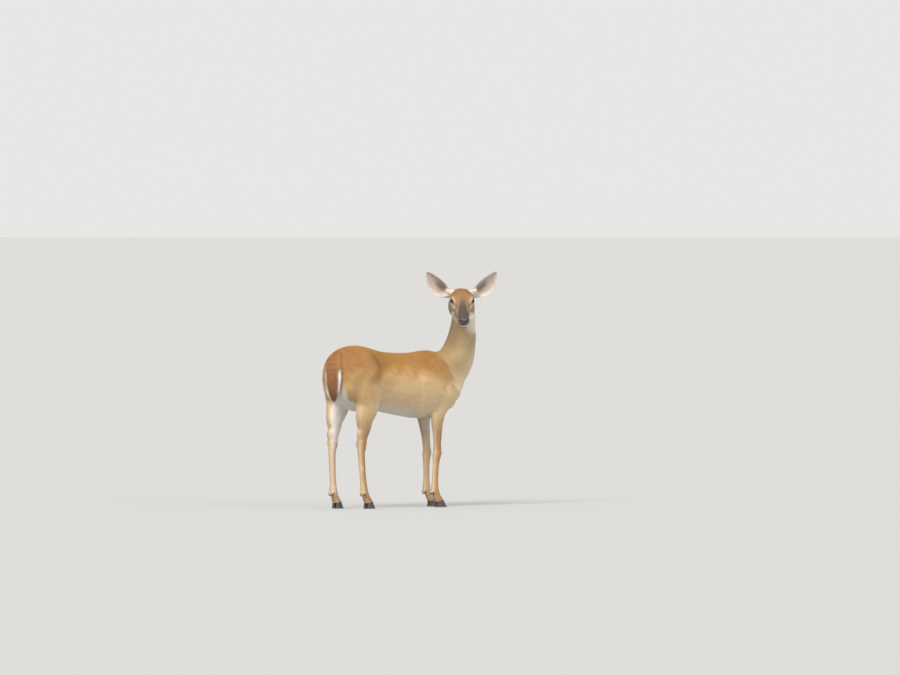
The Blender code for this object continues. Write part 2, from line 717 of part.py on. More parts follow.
def stand_over_origin(parts):
    """Puts the middle of the animal's box over the origin, with the soles at height zero."""
    corners = [vertex.co for part in parts.values() for vertex in part.data.vertices]
    middle = [(min(c[i] for c in corners) + max(c[i] for c in corners)) / 2 for i in (0, 1)]
    stand = bpy.data.objects.new("doe", None)
    bpy.context.scene.collection.objects.link(stand)
    stand.location = (-middle[0], -middle[1], 0.0)
    for part in parts.values():
        part.parent = stand
        part.data.shade_smooth()
        part.data.set_sharp_from_angle(angle=math.radians(SHARP))


stand_over_origin(build())
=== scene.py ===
"""The looks of the doe: one sculpted skin over her flesh, her markings, coat, eyes, nose and hooves."""

import math

import bmesh
import bpy
import numpy as np
from mathutils import Matrix, Vector
from mathutils.bvhtree import BVHTree


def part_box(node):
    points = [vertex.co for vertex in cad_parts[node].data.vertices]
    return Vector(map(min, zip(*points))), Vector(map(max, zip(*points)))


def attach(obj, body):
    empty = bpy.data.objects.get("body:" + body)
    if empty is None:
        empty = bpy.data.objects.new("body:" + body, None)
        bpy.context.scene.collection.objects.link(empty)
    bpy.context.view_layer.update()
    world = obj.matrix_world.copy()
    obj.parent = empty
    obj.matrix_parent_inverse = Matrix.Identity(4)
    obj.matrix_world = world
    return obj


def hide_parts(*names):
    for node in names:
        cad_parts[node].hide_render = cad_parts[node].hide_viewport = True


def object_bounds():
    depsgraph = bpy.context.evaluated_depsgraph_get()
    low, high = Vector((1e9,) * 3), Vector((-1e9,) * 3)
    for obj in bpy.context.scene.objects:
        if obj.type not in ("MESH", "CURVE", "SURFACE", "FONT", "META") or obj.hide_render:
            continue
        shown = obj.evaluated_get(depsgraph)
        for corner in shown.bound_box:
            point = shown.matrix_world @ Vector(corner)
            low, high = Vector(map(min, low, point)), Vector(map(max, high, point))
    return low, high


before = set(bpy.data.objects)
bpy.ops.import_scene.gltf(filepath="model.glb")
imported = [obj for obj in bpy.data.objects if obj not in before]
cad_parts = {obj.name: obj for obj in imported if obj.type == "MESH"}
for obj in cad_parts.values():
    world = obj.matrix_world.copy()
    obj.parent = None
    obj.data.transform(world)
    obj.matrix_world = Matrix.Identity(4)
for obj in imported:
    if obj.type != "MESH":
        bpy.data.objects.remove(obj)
cad_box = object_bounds()

SEED = 20
TRUNK_BEND = 0.62          # turn of the spine for each metre along it, to her right, radians
GROWTH = 0.0006            # closes the thin cuts between the solids
BODY_GROWTH = 0.0015       # the same, for the wider cuts between neck, trunk and legs
CUT_HEIGHT = 0.925         # where the head's fine skin meets the body's coarser one
BOX_MARGIN = 0.00001       # everything stays this far inside the solids' own box
MIDLINE = 0.011            # the legs' plane of symmetry, across the spine
HEAD_VOXEL = 0.0014        # the grain of the head's skin when it is made whole
BODY_VOXEL = 0.0033        # the same, for the body's skin
CLAW_VOXEL = 0.0009        # the same, for each claw
EYES_AHEAD = 0.103         # of the poll, along the palate
EYES_ABOVE = 0.026         # that line
NOSE_DROP = math.atan2(0.0388, 0.160)      # below the palate, of the line from between the eyes to the nose
POLL = (0.43013, -0.05859)                 # ahead of the middle of the trunk, and to her left of it
PIECE_TUFTS = 47000        # the most tufts in one piece

LEGS = [f"{leg}leg_{side}_{part}" for leg in ("fore", "hind") for side in ("left", "right")
        for part in ("upper", "lower")]
HOOVES = [f"{leg}hoof_{side}_{claw}_claw" for leg in ("fore", "hind") for side in ("left", "right")
          for claw in ("left", "right")]
FLESH = ["trunk", "neck", "head", "nose", "ear_left", "ear_right", "tail", *LEGS]


def middle(node):
    """The middle of a node's box."""
    low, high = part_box(node)
    return (low + high) / 2


def ramp(value, low, high):
    """0 below low, 1 above high, and a smooth rise between them."""
    t = np.clip((np.asarray(value, float) - low) / (high - low), 0.0, 1.0)
    return t * t * (3 - 2 * t)


def fall(value, low, high):
    """1 below low and 0 above high."""
    return 1 - ramp(value, low, high)


# ---------------------------------------------------------------- frames of reference


def head_frame():
    """Head to world: x from the poll to the nose along the palate, y to her left, z to the crown."""
    eyes = (middle("eye_left"), middle("eye_right"))
    across = (eyes[0] - eyes[1]).normalized()
    between = (eyes[0] + eyes[1]) / 2
    down_nose = middle("nose") - between
    down_nose -= across * down_nose.dot(across)
    forward = (Matrix.Rotation(-NOSE_DROP, 3, across) @ down_nose).normalized()
    up = forward.cross(across)
    rows = Matrix((forward, across, up)).transposed().to_4x4()
    rows.translation = between - forward * EYES_AHEAD - up * EYES_ABOVE
    return rows


HEAD = head_frame()
HEAD_AXES = np.array(HEAD)[:3, :3]
HEAD_ORIGIN = np.array(HEAD)[:3, 3]
HEAD_INVERSE = np.array(HEAD.inverted())


def to_head(co):
    """World points in the head's frame, each side alike if the sign of y is dropped."""
    return co @ HEAD_INVERSE[:3, :3].T + HEAD_INVERSE[:3, 3]


def to_spine(co):
    """World points as (along the bent spine, across to her left, up)."""
    radius = 1 / TRUNK_BEND
    x = co[:, 0] - SPINE_ORIGIN[0]
    y = co[:, 1] - SPINE_ORIGIN[1] + radius
    return np.stack([np.arctan2(x, y) * radius, np.hypot(x, y) - radius, co[:, 2]], axis=1)


def from_spine(rows):
    """The inverse of to_spine."""
    rows = np.atleast_2d(np.asarray(rows, float))
    radius = 1 / TRUNK_BEND
    angle = rows[:, 0] * TRUNK_BEND
    reach = radius + rows[:, 1]
    return np.stack([
        reach * np.sin(angle) + SPINE_ORIGIN[0],
        reach * np.cos(angle) - radius + SPINE_ORIGIN[1],
        rows[:, 2],
    ], axis=1)


def from_head(rows):
    """The inverse of to_head."""
    return np.atleast_2d(np.asarray(rows, float)) @ HEAD_AXES.T + HEAD_ORIGIN


SPINE_ORIGIN = HEAD.translation - Vector((*POLL, 0.0))


# ---------------------------------------------------------------- meshes and arrays


def new_mesh(name, co, faces):
    """A mesh of triangles, or of faces that all have the same number of corners."""
    mesh = bpy.data.meshes.new(name)
    faces = np.asarray(faces)
    count, corners = faces.shape
    mesh.vertices.add(len(co))
    mesh.vertices.foreach_set("co", np.asarray(co, np.float32).ravel())
    mesh.loops.add(count * corners)
    mesh.loops.foreach_set("vertex_index", faces.astype(np.int32).ravel())
    mesh.polygons.add(count)
    mesh.polygons.foreach_set("loop_start", np.arange(0, count * corners, corners, dtype=np.int32))
    mesh.update(calc_edges=True)
    return mesh


def fetched(items, name, width, kind):
    """One property of all the items, a row for each."""
    values = np.empty(len(items) * width, kind)
    items.foreach_get(name, values)
    return values.reshape(-1, width)


def positions(mesh):
    return fetched(mesh.vertices, "co", 3, np.float32).astype(float)


def set_positions(mesh, co):
    mesh.vertices.foreach_set("co", np.asarray(co, np.float32).ravel())
    mesh.update()


def within(co):
    """The points, kept inside the solids' box."""
    low, high = (np.array(corner, float) for corner in cad_box)
    low[:2] += BOX_MARGIN
    return np.clip(co, low, high - BOX_MARGIN)


def normals(mesh):
    return fetched(mesh.vertex_normals, "vector", 3, np.float32).astype(float)


def face_middles(mesh):
    return fetched(mesh.polygons, "center", 3, np.float32).astype(float)


def edges(mesh):
    return fetched(mesh.edges, "vertices", 2, np.int32)


def triangles(mesh):
    mesh.calc_loop_triangles()
    return fetched(mesh.loop_triangles, "vertices", 3, np.int32)


def unit(rows):
    """Each row at length 1."""
    return rows / np.maximum(np.linalg.norm(rows, axis=1), 1e-9)[:, None]


def mirrored(rows, centre=0.0):
    """The points with y as the distance from the plane y = centre, so both sides are alike."""
    rows = rows.copy()
    rows[:, 1] = np.abs(rows[:, 1] - centre)
    return rows


def add_object(name, mesh):
    obj = bpy.data.objects.new(name, mesh)
    bpy.context.scene.collection.objects.link(obj)
    return obj


def add_piece(name, mesh, made, slot, *nodes):
    """A piece of the doe with its material, in the place of the nodes."""
    mesh.materials.append(made)
    piece = add_object(name, mesh)
    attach(piece, "root")
    if nodes:
        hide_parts(*nodes)


def modified(obj, kind, **settings):
    """The object's mesh after one modifier; the object is removed."""
    modifier = obj.modifiers.new("work", kind)
    for key, value in settings.items():
        setattr(modifier, key, value)
    graph = bpy.context.evaluated_depsgraph_get()
    result = bpy.data.meshes.new_from_object(obj.evaluated_get(graph))
    bpy.data.objects.remove(obj)
    return result


class Spread:
    """Averages values over the neighbours of each vertex of a mesh."""

    def __init__(self, mesh):
        self.edges = edges(mesh)
        self.count = len(mesh.vertices)
        ends = np.bincount(self.edges.ravel(), minlength=self.count)
        self.degree = np.maximum(ends, 1)[:, None]

    def neighbours(self, values):
        a, b = self.edges[:, 0], self.edges[:, 1]
        total = np.empty_like(values)
        for k in range(values.shape[1]):
            total[:, k] = (np.bincount(a, values[b, k], self.count)
                           + np.bincount(b, values[a, k], self.count))
        return total / self.degree

    def blur(self, values, rounds):
        flat = values[:, None] if values.ndim == 1 else values
        for _ in range(rounds):
            flat = 0.5 * flat + 0.5 * self.neighbours(flat)
        return flat[:, 0] if values.ndim == 1 else flat

    def relax(self, co, weight, rounds):
        """Smooths positions with little shrinking: each round shrinks, then swells back."""
        weight = weight[:, None]
        for _ in range(rounds):
            for push in (0.55, -0.57):
                co = co + push * weight * (self.neighbours(co) - co)
        return co

    def melt(self, co, weight, rounds):
        """Smooths positions, and shrinks them as it does so."""
        weight = weight[:, None]
        for _ in range(rounds):
            co = co + 0.6 * weight * (self.neighbours(co) - co)
        return co


def rounded(part):
    """The same form with its facets smoothed out."""
    bmesh.ops.subdivide_edges(part, edges=part.edges, cuts=3, use_grid_fill=True)
    mesh = bpy.data.meshes.new("rounded")
    part.to_mesh(mesh)
    spread = Spread(mesh)
    set_positions(mesh, spread.relax(positions(mesh), np.ones(len(mesh.vertices)), 60))
    part.clear()
    part.from_mesh(mesh)
    return part


def joined(nodes, growth):
    """The nodes' solids in one mesh, each a little larger."""
    form = bmesh.new()
    for node in nodes:
        part = bmesh.new()
        part.from_mesh(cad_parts[node].data)
        bmesh.ops.remove_doubles(part, verts=part.verts, dist=1e-6)
        bmesh.ops.recalc_face_normals(part, faces=part.faces)
        if node.startswith("ear"):
            part = rounded(part)
        part.normal_update()
        for vert in part.verts:
            vert.co += vert.normal * growth
        piece = bpy.data.meshes.new(node)
        part.to_mesh(piece)
        part.free()
        form.from_mesh(piece)
    mesh = bpy.data.meshes.new("joined")
    form.to_mesh(mesh)
    form.free()
    return mesh


def one_side(mesh, above):
    """What is above the height where the two skins meet, or what is below it, open at the cut."""
    form = bmesh.new()
    form.from_mesh(mesh)
    geometry = [*form.verts, *form.edges, *form.faces]
    bmesh.ops.bisect_plane(form, geom=geometry, dist=1e-5, plane_co=(0, 0, CUT_HEIGHT),
                           plane_no=(0, 0, -1 if above else 1), clear_outer=True)
    form.to_mesh(mesh)
    form.free()
    return mesh


# ---------------------------------------------------------------- which part a point belongs to

REGIONS = ("trunk", "neck", "head", "nose", "ear", "tail", "upper", "lower")


def region_of(node):
    """The region of a node, as its index."""
    return REGIONS.index("ear" if node.startswith("ear") else node.rsplit("_", 1)[-1])


def flesh_tree():
    """A search tree over the solids' triangles, and the region of each."""
    points, faces, kinds = [], [], []
    start = 0
    for node in FLESH:
        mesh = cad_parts[node].data
        found = triangles(mesh)
        points.append(positions(mesh))
        faces.append(found + start)
        kinds.append(np.full(len(found), region_of(node)))
        start += len(points[-1])
    tree = BVHTree.FromPolygons(np.concatenate(points).tolist(), np.concatenate(faces).tolist())
    return tree, np.concatenate(kinds)


FLESH_TREE, FACE_REGION = flesh_tree()


def regions(co):
    """The region of the flesh nearest to each point."""
    nearest = [FLESH_TREE.find_nearest(point)[2] for point in co.tolist()]
    return FACE_REGION[np.array(nearest)]


def by_region(found, **values):
    """A value for each point, from its region or from its shares of several."""
    table = np.array([values.get(name, 0.0) for name in REGIONS])
    return table[found] if found.ndim == 1 else found @ table


def region_shares(found, spread):
    """How far each vertex belongs to each region, blending where two meet."""
    shares = spread.blur(np.eye(len(REGIONS))[found], 6)
    broad = [REGIONS.index(name) for name in ("trunk", "neck", "upper", "lower")]
    shares[:, broad] = spread.blur(shares[:, broad], 60)
    return shares


# ---------------------------------------------------------------- sculpting


def resampled(points, step):
    """Points along the line, one for each step of its length."""
    points = np.asarray(points, float)
    lengths = np.linalg.norm(np.diff(points, axis=0), axis=1)
    at = np.concatenate([[0.0], np.cumsum(lengths)])
    wanted = np.linspace(0.0, at[-1], max(2, int(at[-1] / step) + 1)) if at[-1] > 0 else np.zeros(1)
    return np.stack([np.interp(wanted, at, points[:, k]) for k in range(3)], axis=1)


def snapped_to(points, line):
    """For each point of the line, the nearest one of the points."""
    return np.array([points[np.argmin(((points - point) ** 2).sum(1))] for point in line])


def stroke(co, out, height, radius, points):
    """Raises the surface by height, or sinks it, near a line, once that is snapped to the surface."""
    line = resampled(points, radius * 0.5)
    reach = max(0.012, 2.8 * radius)
    near = np.flatnonzero(((co > line.min(0) - reach) & (co < line.max(0) + reach)).all(1))
    if not len(near):
        return co
    here = co[near]
    nearest = np.full(len(near), 1e9)
    for point in snapped_to(here, line):
        nearest = np.minimum(nearest, ((here - point) ** 2).sum(1))
    rise = height * np.exp(-(np.sqrt(nearest) / radius) ** 2)
    co = co.copy()
    co[near] += out[near] * rise[:, None]
    return co


# In the head's frame, for both sides, in millimetres: height, radius, points.
HEAD_STROKES = [
    (1.6, 11, (68, 48, 47), (92, 52, 49), (118, 44, 44)),                 # brow
    (-2.6, 6, (128, 46, 17), (141, 41, 8), (150, 38, 2)),                 # pit of the tear gland
    (2.0, 8, (66, 60, 2), (95, 58, -4), (128, 48, -14)),                  # cheekbone
    (-1.8, 10, (140, 28, 14), (170, 25, 6), (205, 24, -4)),               # beside the nasal bone
    (-2.0, 14, (120, 44, -30), (150, 38, -30), (180, 34, -32)),           # in front of the cheek
    (1.6, 12, (30, 58, -20), (60, 60, -45), (85, 52, -62)),               # masseter
    (-2.0, 9, (8, 54, -10), (20, 52, -50), (40, 44, -80)),                # behind the jaw
    (-1.5, 16, (60, 0, 60), (110, 0, 48)),                                # between the brows
    (1.0, 7, (262, 20, -36), (235, 28, -38), (205, 32, -40)),             # upper lip
    (-2.6, 1.9, (268, 0, -46), (262, 13, -46), (245, 24, -46), (215, 30, -48), (182, 33, -52)),  # mouth
    (1.0, 4, (252, 16, -53), (225, 24, -55), (195, 28, -58)),             # lower lip
    (-1.0, 1.6, (275, 0, -28), (270, 0, -40), (268, 0, -45)),             # under the nose
    (-0.8, 1.5, (274, 0, -8), (276, 0, -26)),                             # middle of the nose
    (1.3, 4.5, (270, 9, -4), (260, 20, -1), (250, 24, -8)),               # rim over the nostril
    (1.0, 3.5, (272, 12, -22), (264, 22, -20), (254, 25, -14)),           # rim under the nostril
]

# The line of each nostril, from front to back, in millimetres in the head's frame.
NOSTRIL = [(271, 10.5, -16.0), (268, 15.5, -14.5), (263, 20.5, -11.5), (257, 23.5, -7.5), (252, 25.0, -4.0)]


def nostrils(local, out):
    """A comma-shaped pit on each side, widest and deepest in front."""
    for side in (1, -1):
        line = resampled(np.array(NOSTRIL) * (0.001, 0.001 * side, 0.001), 0.0012)
        near = np.flatnonzero((local[:, 0] > 0.235) & (local[:, 1] * side > 0))
        here = local[near]
        padded = np.pad(snapped_to(here, line), ((3, 3), (0, 0)), mode="edge")
        snapped = np.mean([padded[k:k + len(line)] for k in range(7)], axis=0)
        share = np.linspace(0, 1, len(snapped))
        wide = 0.0042 - 0.0026 * share
        deep = 0.0065 * (1 - share) ** 0.6 + 0.0010
        away = np.linalg.norm(here[:, None, :] - snapped[None, :, :], axis=2)
        local[near] -= out[near] * (deep * np.exp(-(away / wide) ** 3)).max(axis=1)[:, None]
    return local


def sculpt_head(co, spread_normals):
    """Cuts the nostrils and adds the strokes, on both sides."""
    local = to_head(co)
    out = spread_normals @ HEAD_INVERSE[:3, :3].T
    local = nostrils(local, out)
    for height, radius, *points in HEAD_STROKES:
        for side in (1, -1):
            line = np.array(points) * (0.001, 0.001 * side, 0.001)
            if side < 0 and not np.any(line[:, 1]):
                continue
            local = stroke(local, out, height / 1000, radius / 1000, line)
    return from_head(local)


EYE_RADIUS = 0.0163
EYE_AXIS = np.array((0.56, 0.82, 0.10))
EYE_AXIS /= np.linalg.norm(EYE_AXIS)
EYE_TILT = math.radians(16)                 # the front corner sits lower than the back one
LID_LENGTH = math.radians(56)               # half the opening, seen from the eye's centre
LID_RISE = math.radians(33)
LID_FALL = math.radians(27)


def eye_centre():
    """The middle of the left eye, in the head's frame."""
    return to_head(np.array([middle("eye_left")]))[0]


def eye_axes():
    """The ways towards the front corner of the left eye, and up across it."""
    ahead = np.array((1.0, 0.0, 0.0))
    ahead = ahead - EYE_AXIS * ahead.dot(EYE_AXIS)
    ahead /= np.linalg.norm(ahead)
    up = np.cross(ahead, EYE_AXIS)
    turned = ahead * math.cos(EYE_TILT) - up * math.sin(EYE_TILT)
    return turned, np.cross(turned, EYE_AXIS)


def lid_measure(local):
    """For points in the head's frame: angle inside the opening between the lids (negative outside),
    distance from the eye's centre, how far each faces along the eye's axis, and height on the eye."""
    relative = mirrored(local) - eye_centre()
    distance = np.linalg.norm(relative, axis=1)
    way = relative / np.maximum(distance, 1e-6)[:, None]
    ahead, up = eye_axes()
    facing = way @ EYE_AXIS
    across = np.arctan2(way @ ahead, facing)
    rise = np.arctan2(way @ up, facing)
    share = np.abs(across) / LID_LENGTH
    arch = np.maximum(1 - share ** 2.2, 0.0) ** 0.75
    inside = np.minimum(LID_RISE * arch - rise, rise + LID_FALL * arch)
    beyond = np.hypot((share - 1) * LID_LENGTH, rise)
    inside = np.where(share < 1, inside, -beyond)
    return inside, distance, facing, rise


def set_lids(co):
    """Fits the skin over each eye as two lids, and sinks it behind the eye between them."""
    local = to_head(co)
    inside, distance, facing, rise = lid_measure(local)
    near = (facing > 0.1) & (distance < 2.0 * EYE_RADIUS)
    lid = EYE_RADIUS + 0.0011 + 0.0026 * ramp(-inside, 0.05, 0.5)
    crease = 0.0007 * np.exp(-((inside + 0.22) / 0.035) ** 2) * (rise > 0)
    share = fall(-inside, 0.16, 0.62)
    wanted = distance + (lid - crease - distance) * share
    wanted = np.maximum(wanted, EYE_RADIUS + 0.0009)
    wanted = wanted + (EYE_RADIUS - 0.003 - wanted) * ramp(inside, 0.0, 0.06)
    scale = np.where(near, wanted / distance, 1.0)[:, None]
    centre = np.where(local[:, 1:2] > 0, 1.0, -1.0) * (0, 1, 0) * eye_centre() + eye_centre() * (1, 0, 1)
    return from_head(centre + (local - centre) * scale)


def finer(mesh, chosen):
    """Splits the chosen faces in four."""
    form = bmesh.new()
    form.from_mesh(mesh)
    form.faces.ensure_lookup_table()
    picked = {edge for index in chosen for edge in form.faces[index].edges}
    bmesh.ops.subdivide_edges(form, edges=list(picked), cuts=1, use_grid_fill=True)
    bmesh.ops.triangulate(form, faces=[face for face in form.faces if len(face.verts) > 4])
    form.to_mesh(mesh)
    form.free()


def head_skin():
    """The skin above the cut, with its features; its open edge is a ring round the neck."""
    nodes = ["head", "neck", "nose", "ear_left", "ear_right", "eye_left", "eye_right"]
    mesh = modified(add_object("work", joined(nodes, GROWTH)), "REMESH", mode="VOXEL", voxel_size=HEAD_VOXEL)
    spread = Spread(mesh)
    co = positions(mesh)
    found = regions(co)
    depth = spread.blur(by_region(found, neck=0.0035, head=0.0010, ear=0.0003), 60)
    ear = spread.blur(by_region(found, ear=1.0), 6)
    soft = spread.blur(by_region(found, neck=1.0, head=0.55, nose=0.2, ear=1.0), 20)
    co = spread.relax(co, soft, 60)
    co = spread.relax(co, ear, 40)
    co = spread.melt(co, spread.blur(by_region(found, neck=1.0, head=0.12), 60), 60)
    set_positions(mesh, co)
    set_positions(mesh, co - normals(mesh) * depth[:, None])
    mesh = one_side(mesh, True)
    local = to_head(face_middles(mesh))
    _, distance, facing, _ = lid_measure(local)
    fine = ((distance < 0.026) & (facing > 0.2)) | ((local[:, 0] > 0.238) & (local[:, 2] > -0.06))
    finer(mesh, np.flatnonzero(fine))
    spread = Spread(mesh)
    inner = 1 - (positions(mesh)[:, 2] < CUT_HEIGHT + 0.004) * 1.0          # 0 at the open edge
    co = spread.relax(positions(mesh), 0.4 * inner, 3)
    set_positions(mesh, co)
    co = sculpt_head(co, unit(spread.blur(normals(mesh), 4)))
    co = spread.relax(co, spread.blur(nose_share(co), 4), 5)
    local = mirrored(to_head(co))
    pit = np.min([np.linalg.norm(local - np.array(point) / 1000, axis=1) for point in NOSTRIL], axis=0)
    set_positions(mesh, set_lids(spread.relax(co, fall(pit, 0.006, 0.011), 24)))
    local = to_head(positions(mesh))
    _, distance, facing, _ = lid_measure(local)
    kept = ((distance < 0.027) & (facing > 0.0)) | (local[:, 0] > 0.20)
    return lighter(mesh, 0.27, kept)


def lighter(mesh, ratio, kept):
    """The mesh with fewer triangles, but hardly fewer where kept is true."""
    obj = add_object("work", mesh)
    group = obj.vertex_groups.new(name="less")
    group.add(np.flatnonzero(~kept).tolist(), 1.0, "REPLACE")
    group.add(np.flatnonzero(kept).tolist(), 1.0 - 0.93, "REPLACE")
    return modified(obj, "DECIMATE", ratio=ratio, vertex_group="less", use_collapse_triangulate=True)


# In spine coordinates (along, across, up), in millimetres, for both sides: height, radius, points.
TRUNK_STROKES = [
    (8, 55, (190, 70, 720), (235, 60, 600)),                      # shoulder blade
    (-5, 28, (105, 90, 700), (125, 100, 600), (140, 90, 540)),    # behind the shoulder
    (-8, 34, (-205, 100, 560), (-255, 105, 640)),                 # fold of the flank
    (5, 40, (-250, 80, 800), (-330, 85, 760)),                    # hip
    (-4, 24, (-290, 95, 730), (-330, 90, 640), (-350, 80, 560)),  # between the thigh muscles
    (-5, 40, (-150, 90, 770), (-80, 95, 760)),                    # hollow of the loin
]
RIBS = 8


def sculpt_body(mesh, spread):
    """The points of the skin with the trunk's strokes and ribs."""
    co = positions(mesh)
    out = unit(spread.blur(normals(mesh), 12))
    spine = to_spine(co)
    for height, radius, *points in TRUNK_STROKES:
        for side in (1, -1):
            line = from_spine(np.array(points) * (0.001, 0.001 * side, 0.001))
            co = stroke(co, out, height / 1000, radius / 1000, line)
    along, across, up = spine.T
    band = (ramp(along, -0.15, -0.06) * fall(along, 0.06, 0.13) * ramp(up, 0.53, 0.60)
            * fall(up, 0.72, 0.79) * ramp(np.abs(across), 0.04, 0.08))
    lean = along - (up - 0.65) * 0.35
    co = co + out * (0.0004 * band * np.sin(lean * 2 * math.pi * RIBS / 0.30))[:, None]
    return co


def body_skin():
    """The skin below the cut: trunk, tail and legs, down to the hooves."""
    solid = add_object("work", joined(["trunk", "neck", "tail", *LEGS], BODY_GROWTH))
    mesh = modified(solid, "REMESH", mode="VOXEL", voxel_size=BODY_VOXEL)
    spread = Spread(mesh)
    co = positions(mesh)
    found = regions(co)
    depth = by_region(found, trunk=0.0042, neck=0.0035, tail=0.0040, upper=0.0034, lower=0.0010)
    depth = spread.blur(depth, 16)
    soft = spread.blur(by_region(found, trunk=1.0, neck=1.0, tail=0.5, upper=1.0, lower=0.35), 14)
    foot = ramp(co[:, 2], 0.030, 0.075)
    co = spread.relax(co, soft * foot, 40)
    co = spread.melt(co, spread.blur(by_region(found, trunk=1.0, neck=1.0, upper=0.7), 14) * foot, 14)
    for name in ("neck", "upper"):
        share = spread.blur(by_region(found, **{name: 1.0}), 90)
        co = spread.melt(co, 4 * share * (1 - share) * ramp(co[:, 2], 0.50, 0.60), 120)
    set_positions(mesh, co)
    bent = 1 - np.linalg.norm(spread.blur(normals(mesh), 10), axis=1)
    fold = ramp(bent, 0.012, 0.045) * by_region(found, trunk=1.0, neck=1.0, upper=1.0)
    co = spread.melt(co, spread.blur(fold, 12) * ramp(co[:, 2], 0.58, 0.64), 90)
    set_positions(mesh, co)
    set_positions(mesh, co - normals(mesh) * (depth * foot)[:, None])
    set_positions(mesh, sculpt_body(mesh, spread))
    mesh = one_side(mesh, False)
    return lighter(mesh, 0.30, positions(mesh)[:, 2] < 0.45)


def whole_skin():
    """Head and body, joined edge to edge."""
    form = bmesh.new()
    for mesh in (body_skin(), head_skin()):
        form.from_mesh(mesh)
    rim = [edge for edge in form.edges if edge.is_boundary]
    bmesh.ops.bridge_loops(form, edges=rim)
    bmesh.ops.triangulate(form, faces=[face for face in form.faces if len(face.verts) > 3])
    bmesh.ops.recalc_face_normals(form, faces=form.faces)
    mesh = bpy.data.meshes.new("skin")
    form.to_mesh(mesh)
    form.free()
    spread = Spread(mesh)
    seam = spread.blur((np.abs(positions(mesh)[:, 2] - CUT_HEIGHT) < 0.006) * 1.0, 4)
    seam *= to_head(positions(mesh))[:, 0] < 0.15
    set_positions(mesh, within(spread.melt(positions(mesh), seam, 12)))
    mesh.shade_smooth()
    return mesh


# ---------------------------------------------------------------- markings


def noise(co, size, seed):
    """Smooth values from about -1 to 1 that vary over the size."""
    random = np.random.default_rng(SEED + seed)
    total = np.zeros(len(co))
    for _ in range(9):
        way = random.normal(size=3)
        way *= 2 * math.pi / (size * np.linalg.norm(way) * random.uniform(0.7, 1.5))
        total += np.sin(co @ way + random.uniform(0, 2 * math.pi))
    return total / 3.4


def mix(colour, other, share):
    """The colour, changed towards another by the share."""
    return colour + (np.asarray(other, float) - colour) * np.clip(share, 0, 1)[:, None]


def layered(colour, *layers):
    """The colour under layers, each a colour and its share."""
    for other, share in layers:
        colour = mix(colour, other, share)
    return colour


def spot(rows, centre, size):
    """1 at the centre, falling to 0 at about the size away; the size may differ along each axis."""
    away = np.linalg.norm((rows - np.array(centre) / 1000) / (np.array(size) / 1000), axis=1)
    return fall(away, 0.55, 1.25)


RED = (0.365, 0.192, 0.053)
RUSSET = (0.510, 0.295, 0.114)
RUMP = (0.345, 0.150, 0.050)
TAN = (0.635, 0.468, 0.260)
PALE = (0.780, 0.650, 0.470)
WHITE = (0.820, 0.780, 0.710)
FAWN = (0.470, 0.360, 0.195)
GREY_BROWN = (0.230, 0.175, 0.100)
DARK = (0.050, 0.036, 0.028)
EAR_WHITE = (0.620, 0.570, 0.490)
CINNAMON = (0.430, 0.262, 0.120)


def body_colour(co, normal, found):
    """Red-brown above and paler below, with painted shade where the back faces up; a grey-brown neck, darker
    under the head as painted shadow; white on the throat and belly.
    """
    rows = to_spine(co)
    along, _, up = rows.T
    out = unit(to_spine(co + normal * 0.001) - rows)
    height = up + noise(co, 0.11, 1) * 0.022 + noise(co, 0.03, 2) * 0.008
    rear = fall(along, -0.36, -0.16)
    croup = fall(along, -0.36, -0.18) * ramp(height - 0.10 * ramp(along, -0.40, -0.25), 0.66, 0.80)
    shoulder = ramp(along, 0.06, 0.20)
    chest = ramp(out[:, 0], 0.15, 0.75) * fall(up, 0.76, 0.92) * ramp(along, 0.29, 0.38)
    neck = by_region(found, neck=1.0)
    nape = neck * ramp(-out[:, 0], 0.0, 0.8)
    forward, leftward = HEAD_AXES.T[:2]
    front = normal @ (forward * 0.55 + leftward * 0.83)
    ahead = ramp(front, 0.10, 0.85)
    under_head = ramp((co - HEAD_ORIGIN) @ forward, -0.03, 0.04)
    throat = neck * ramp(height, 0.87, 0.93) * ramp(front, 0.40, 0.85) * under_head
    below = by_region(found, trunk=1.0) * fall(up, 0.55, 0.60)
    belly = below * ramp(-out[:, 2], 0.62, 0.95) * (1 - 0.7 * ramp(along, 0.14, 0.24))
    colour = layered(
        np.tile(np.array(TAN), (len(co), 1)),
        (RUSSET, ramp(height - 0.02 * rear, 0.625, 0.720)),
        (RED, ramp(height - 0.02 * rear, 0.675, 0.765)),
        (RUSSET, 0.60 * rear * ramp(height, 0.46, 0.60)),
        (RUMP, 0.75 * croup),
        (RUSSET, 0.40 * shoulder * ramp(height, 0.56, 0.70)),
        ((0.30, 0.135, 0.042), 0.6 * shoulder * ramp(height, 0.70, 0.78)),
        (PALE, (0.35 - 0.25 * rear) * fall(height, 0.52, 0.60)),
        (FAWN, ramp(along + (height - 0.75) * 0.5, 0.22, 0.44)),
        # painted shade: surfaces that face up are made darker and redder, against the light from above
        (RED, 0.35 * ramp(out[:, 2], 0.45, 0.95) * ramp(height, 0.70, 0.8)),
        (PALE, 0.80 * chest),
        (RUSSET, 0.6 * nape),
        ((0.300, 0.175, 0.085), 0.45 * nape),
        # partly painted shadow: the neck's own grey-brown, deepened just under the head where the head's
        # shadow falls
        (GREY_BROWN, neck * ramp(height, 0.74, 0.95) * (0.85 - 0.40 * ahead)),
        ((0.560, 0.430, 0.255), 0.22 * neck * ahead * ramp(height, 0.68, 0.80)),
        (WHITE, 0.9 * throat),
        (PALE, 0.55 * below * ramp(-out[:, 2], 0.35, 0.8)),
        (WHITE, belly),
    )
    return colour, rows, out


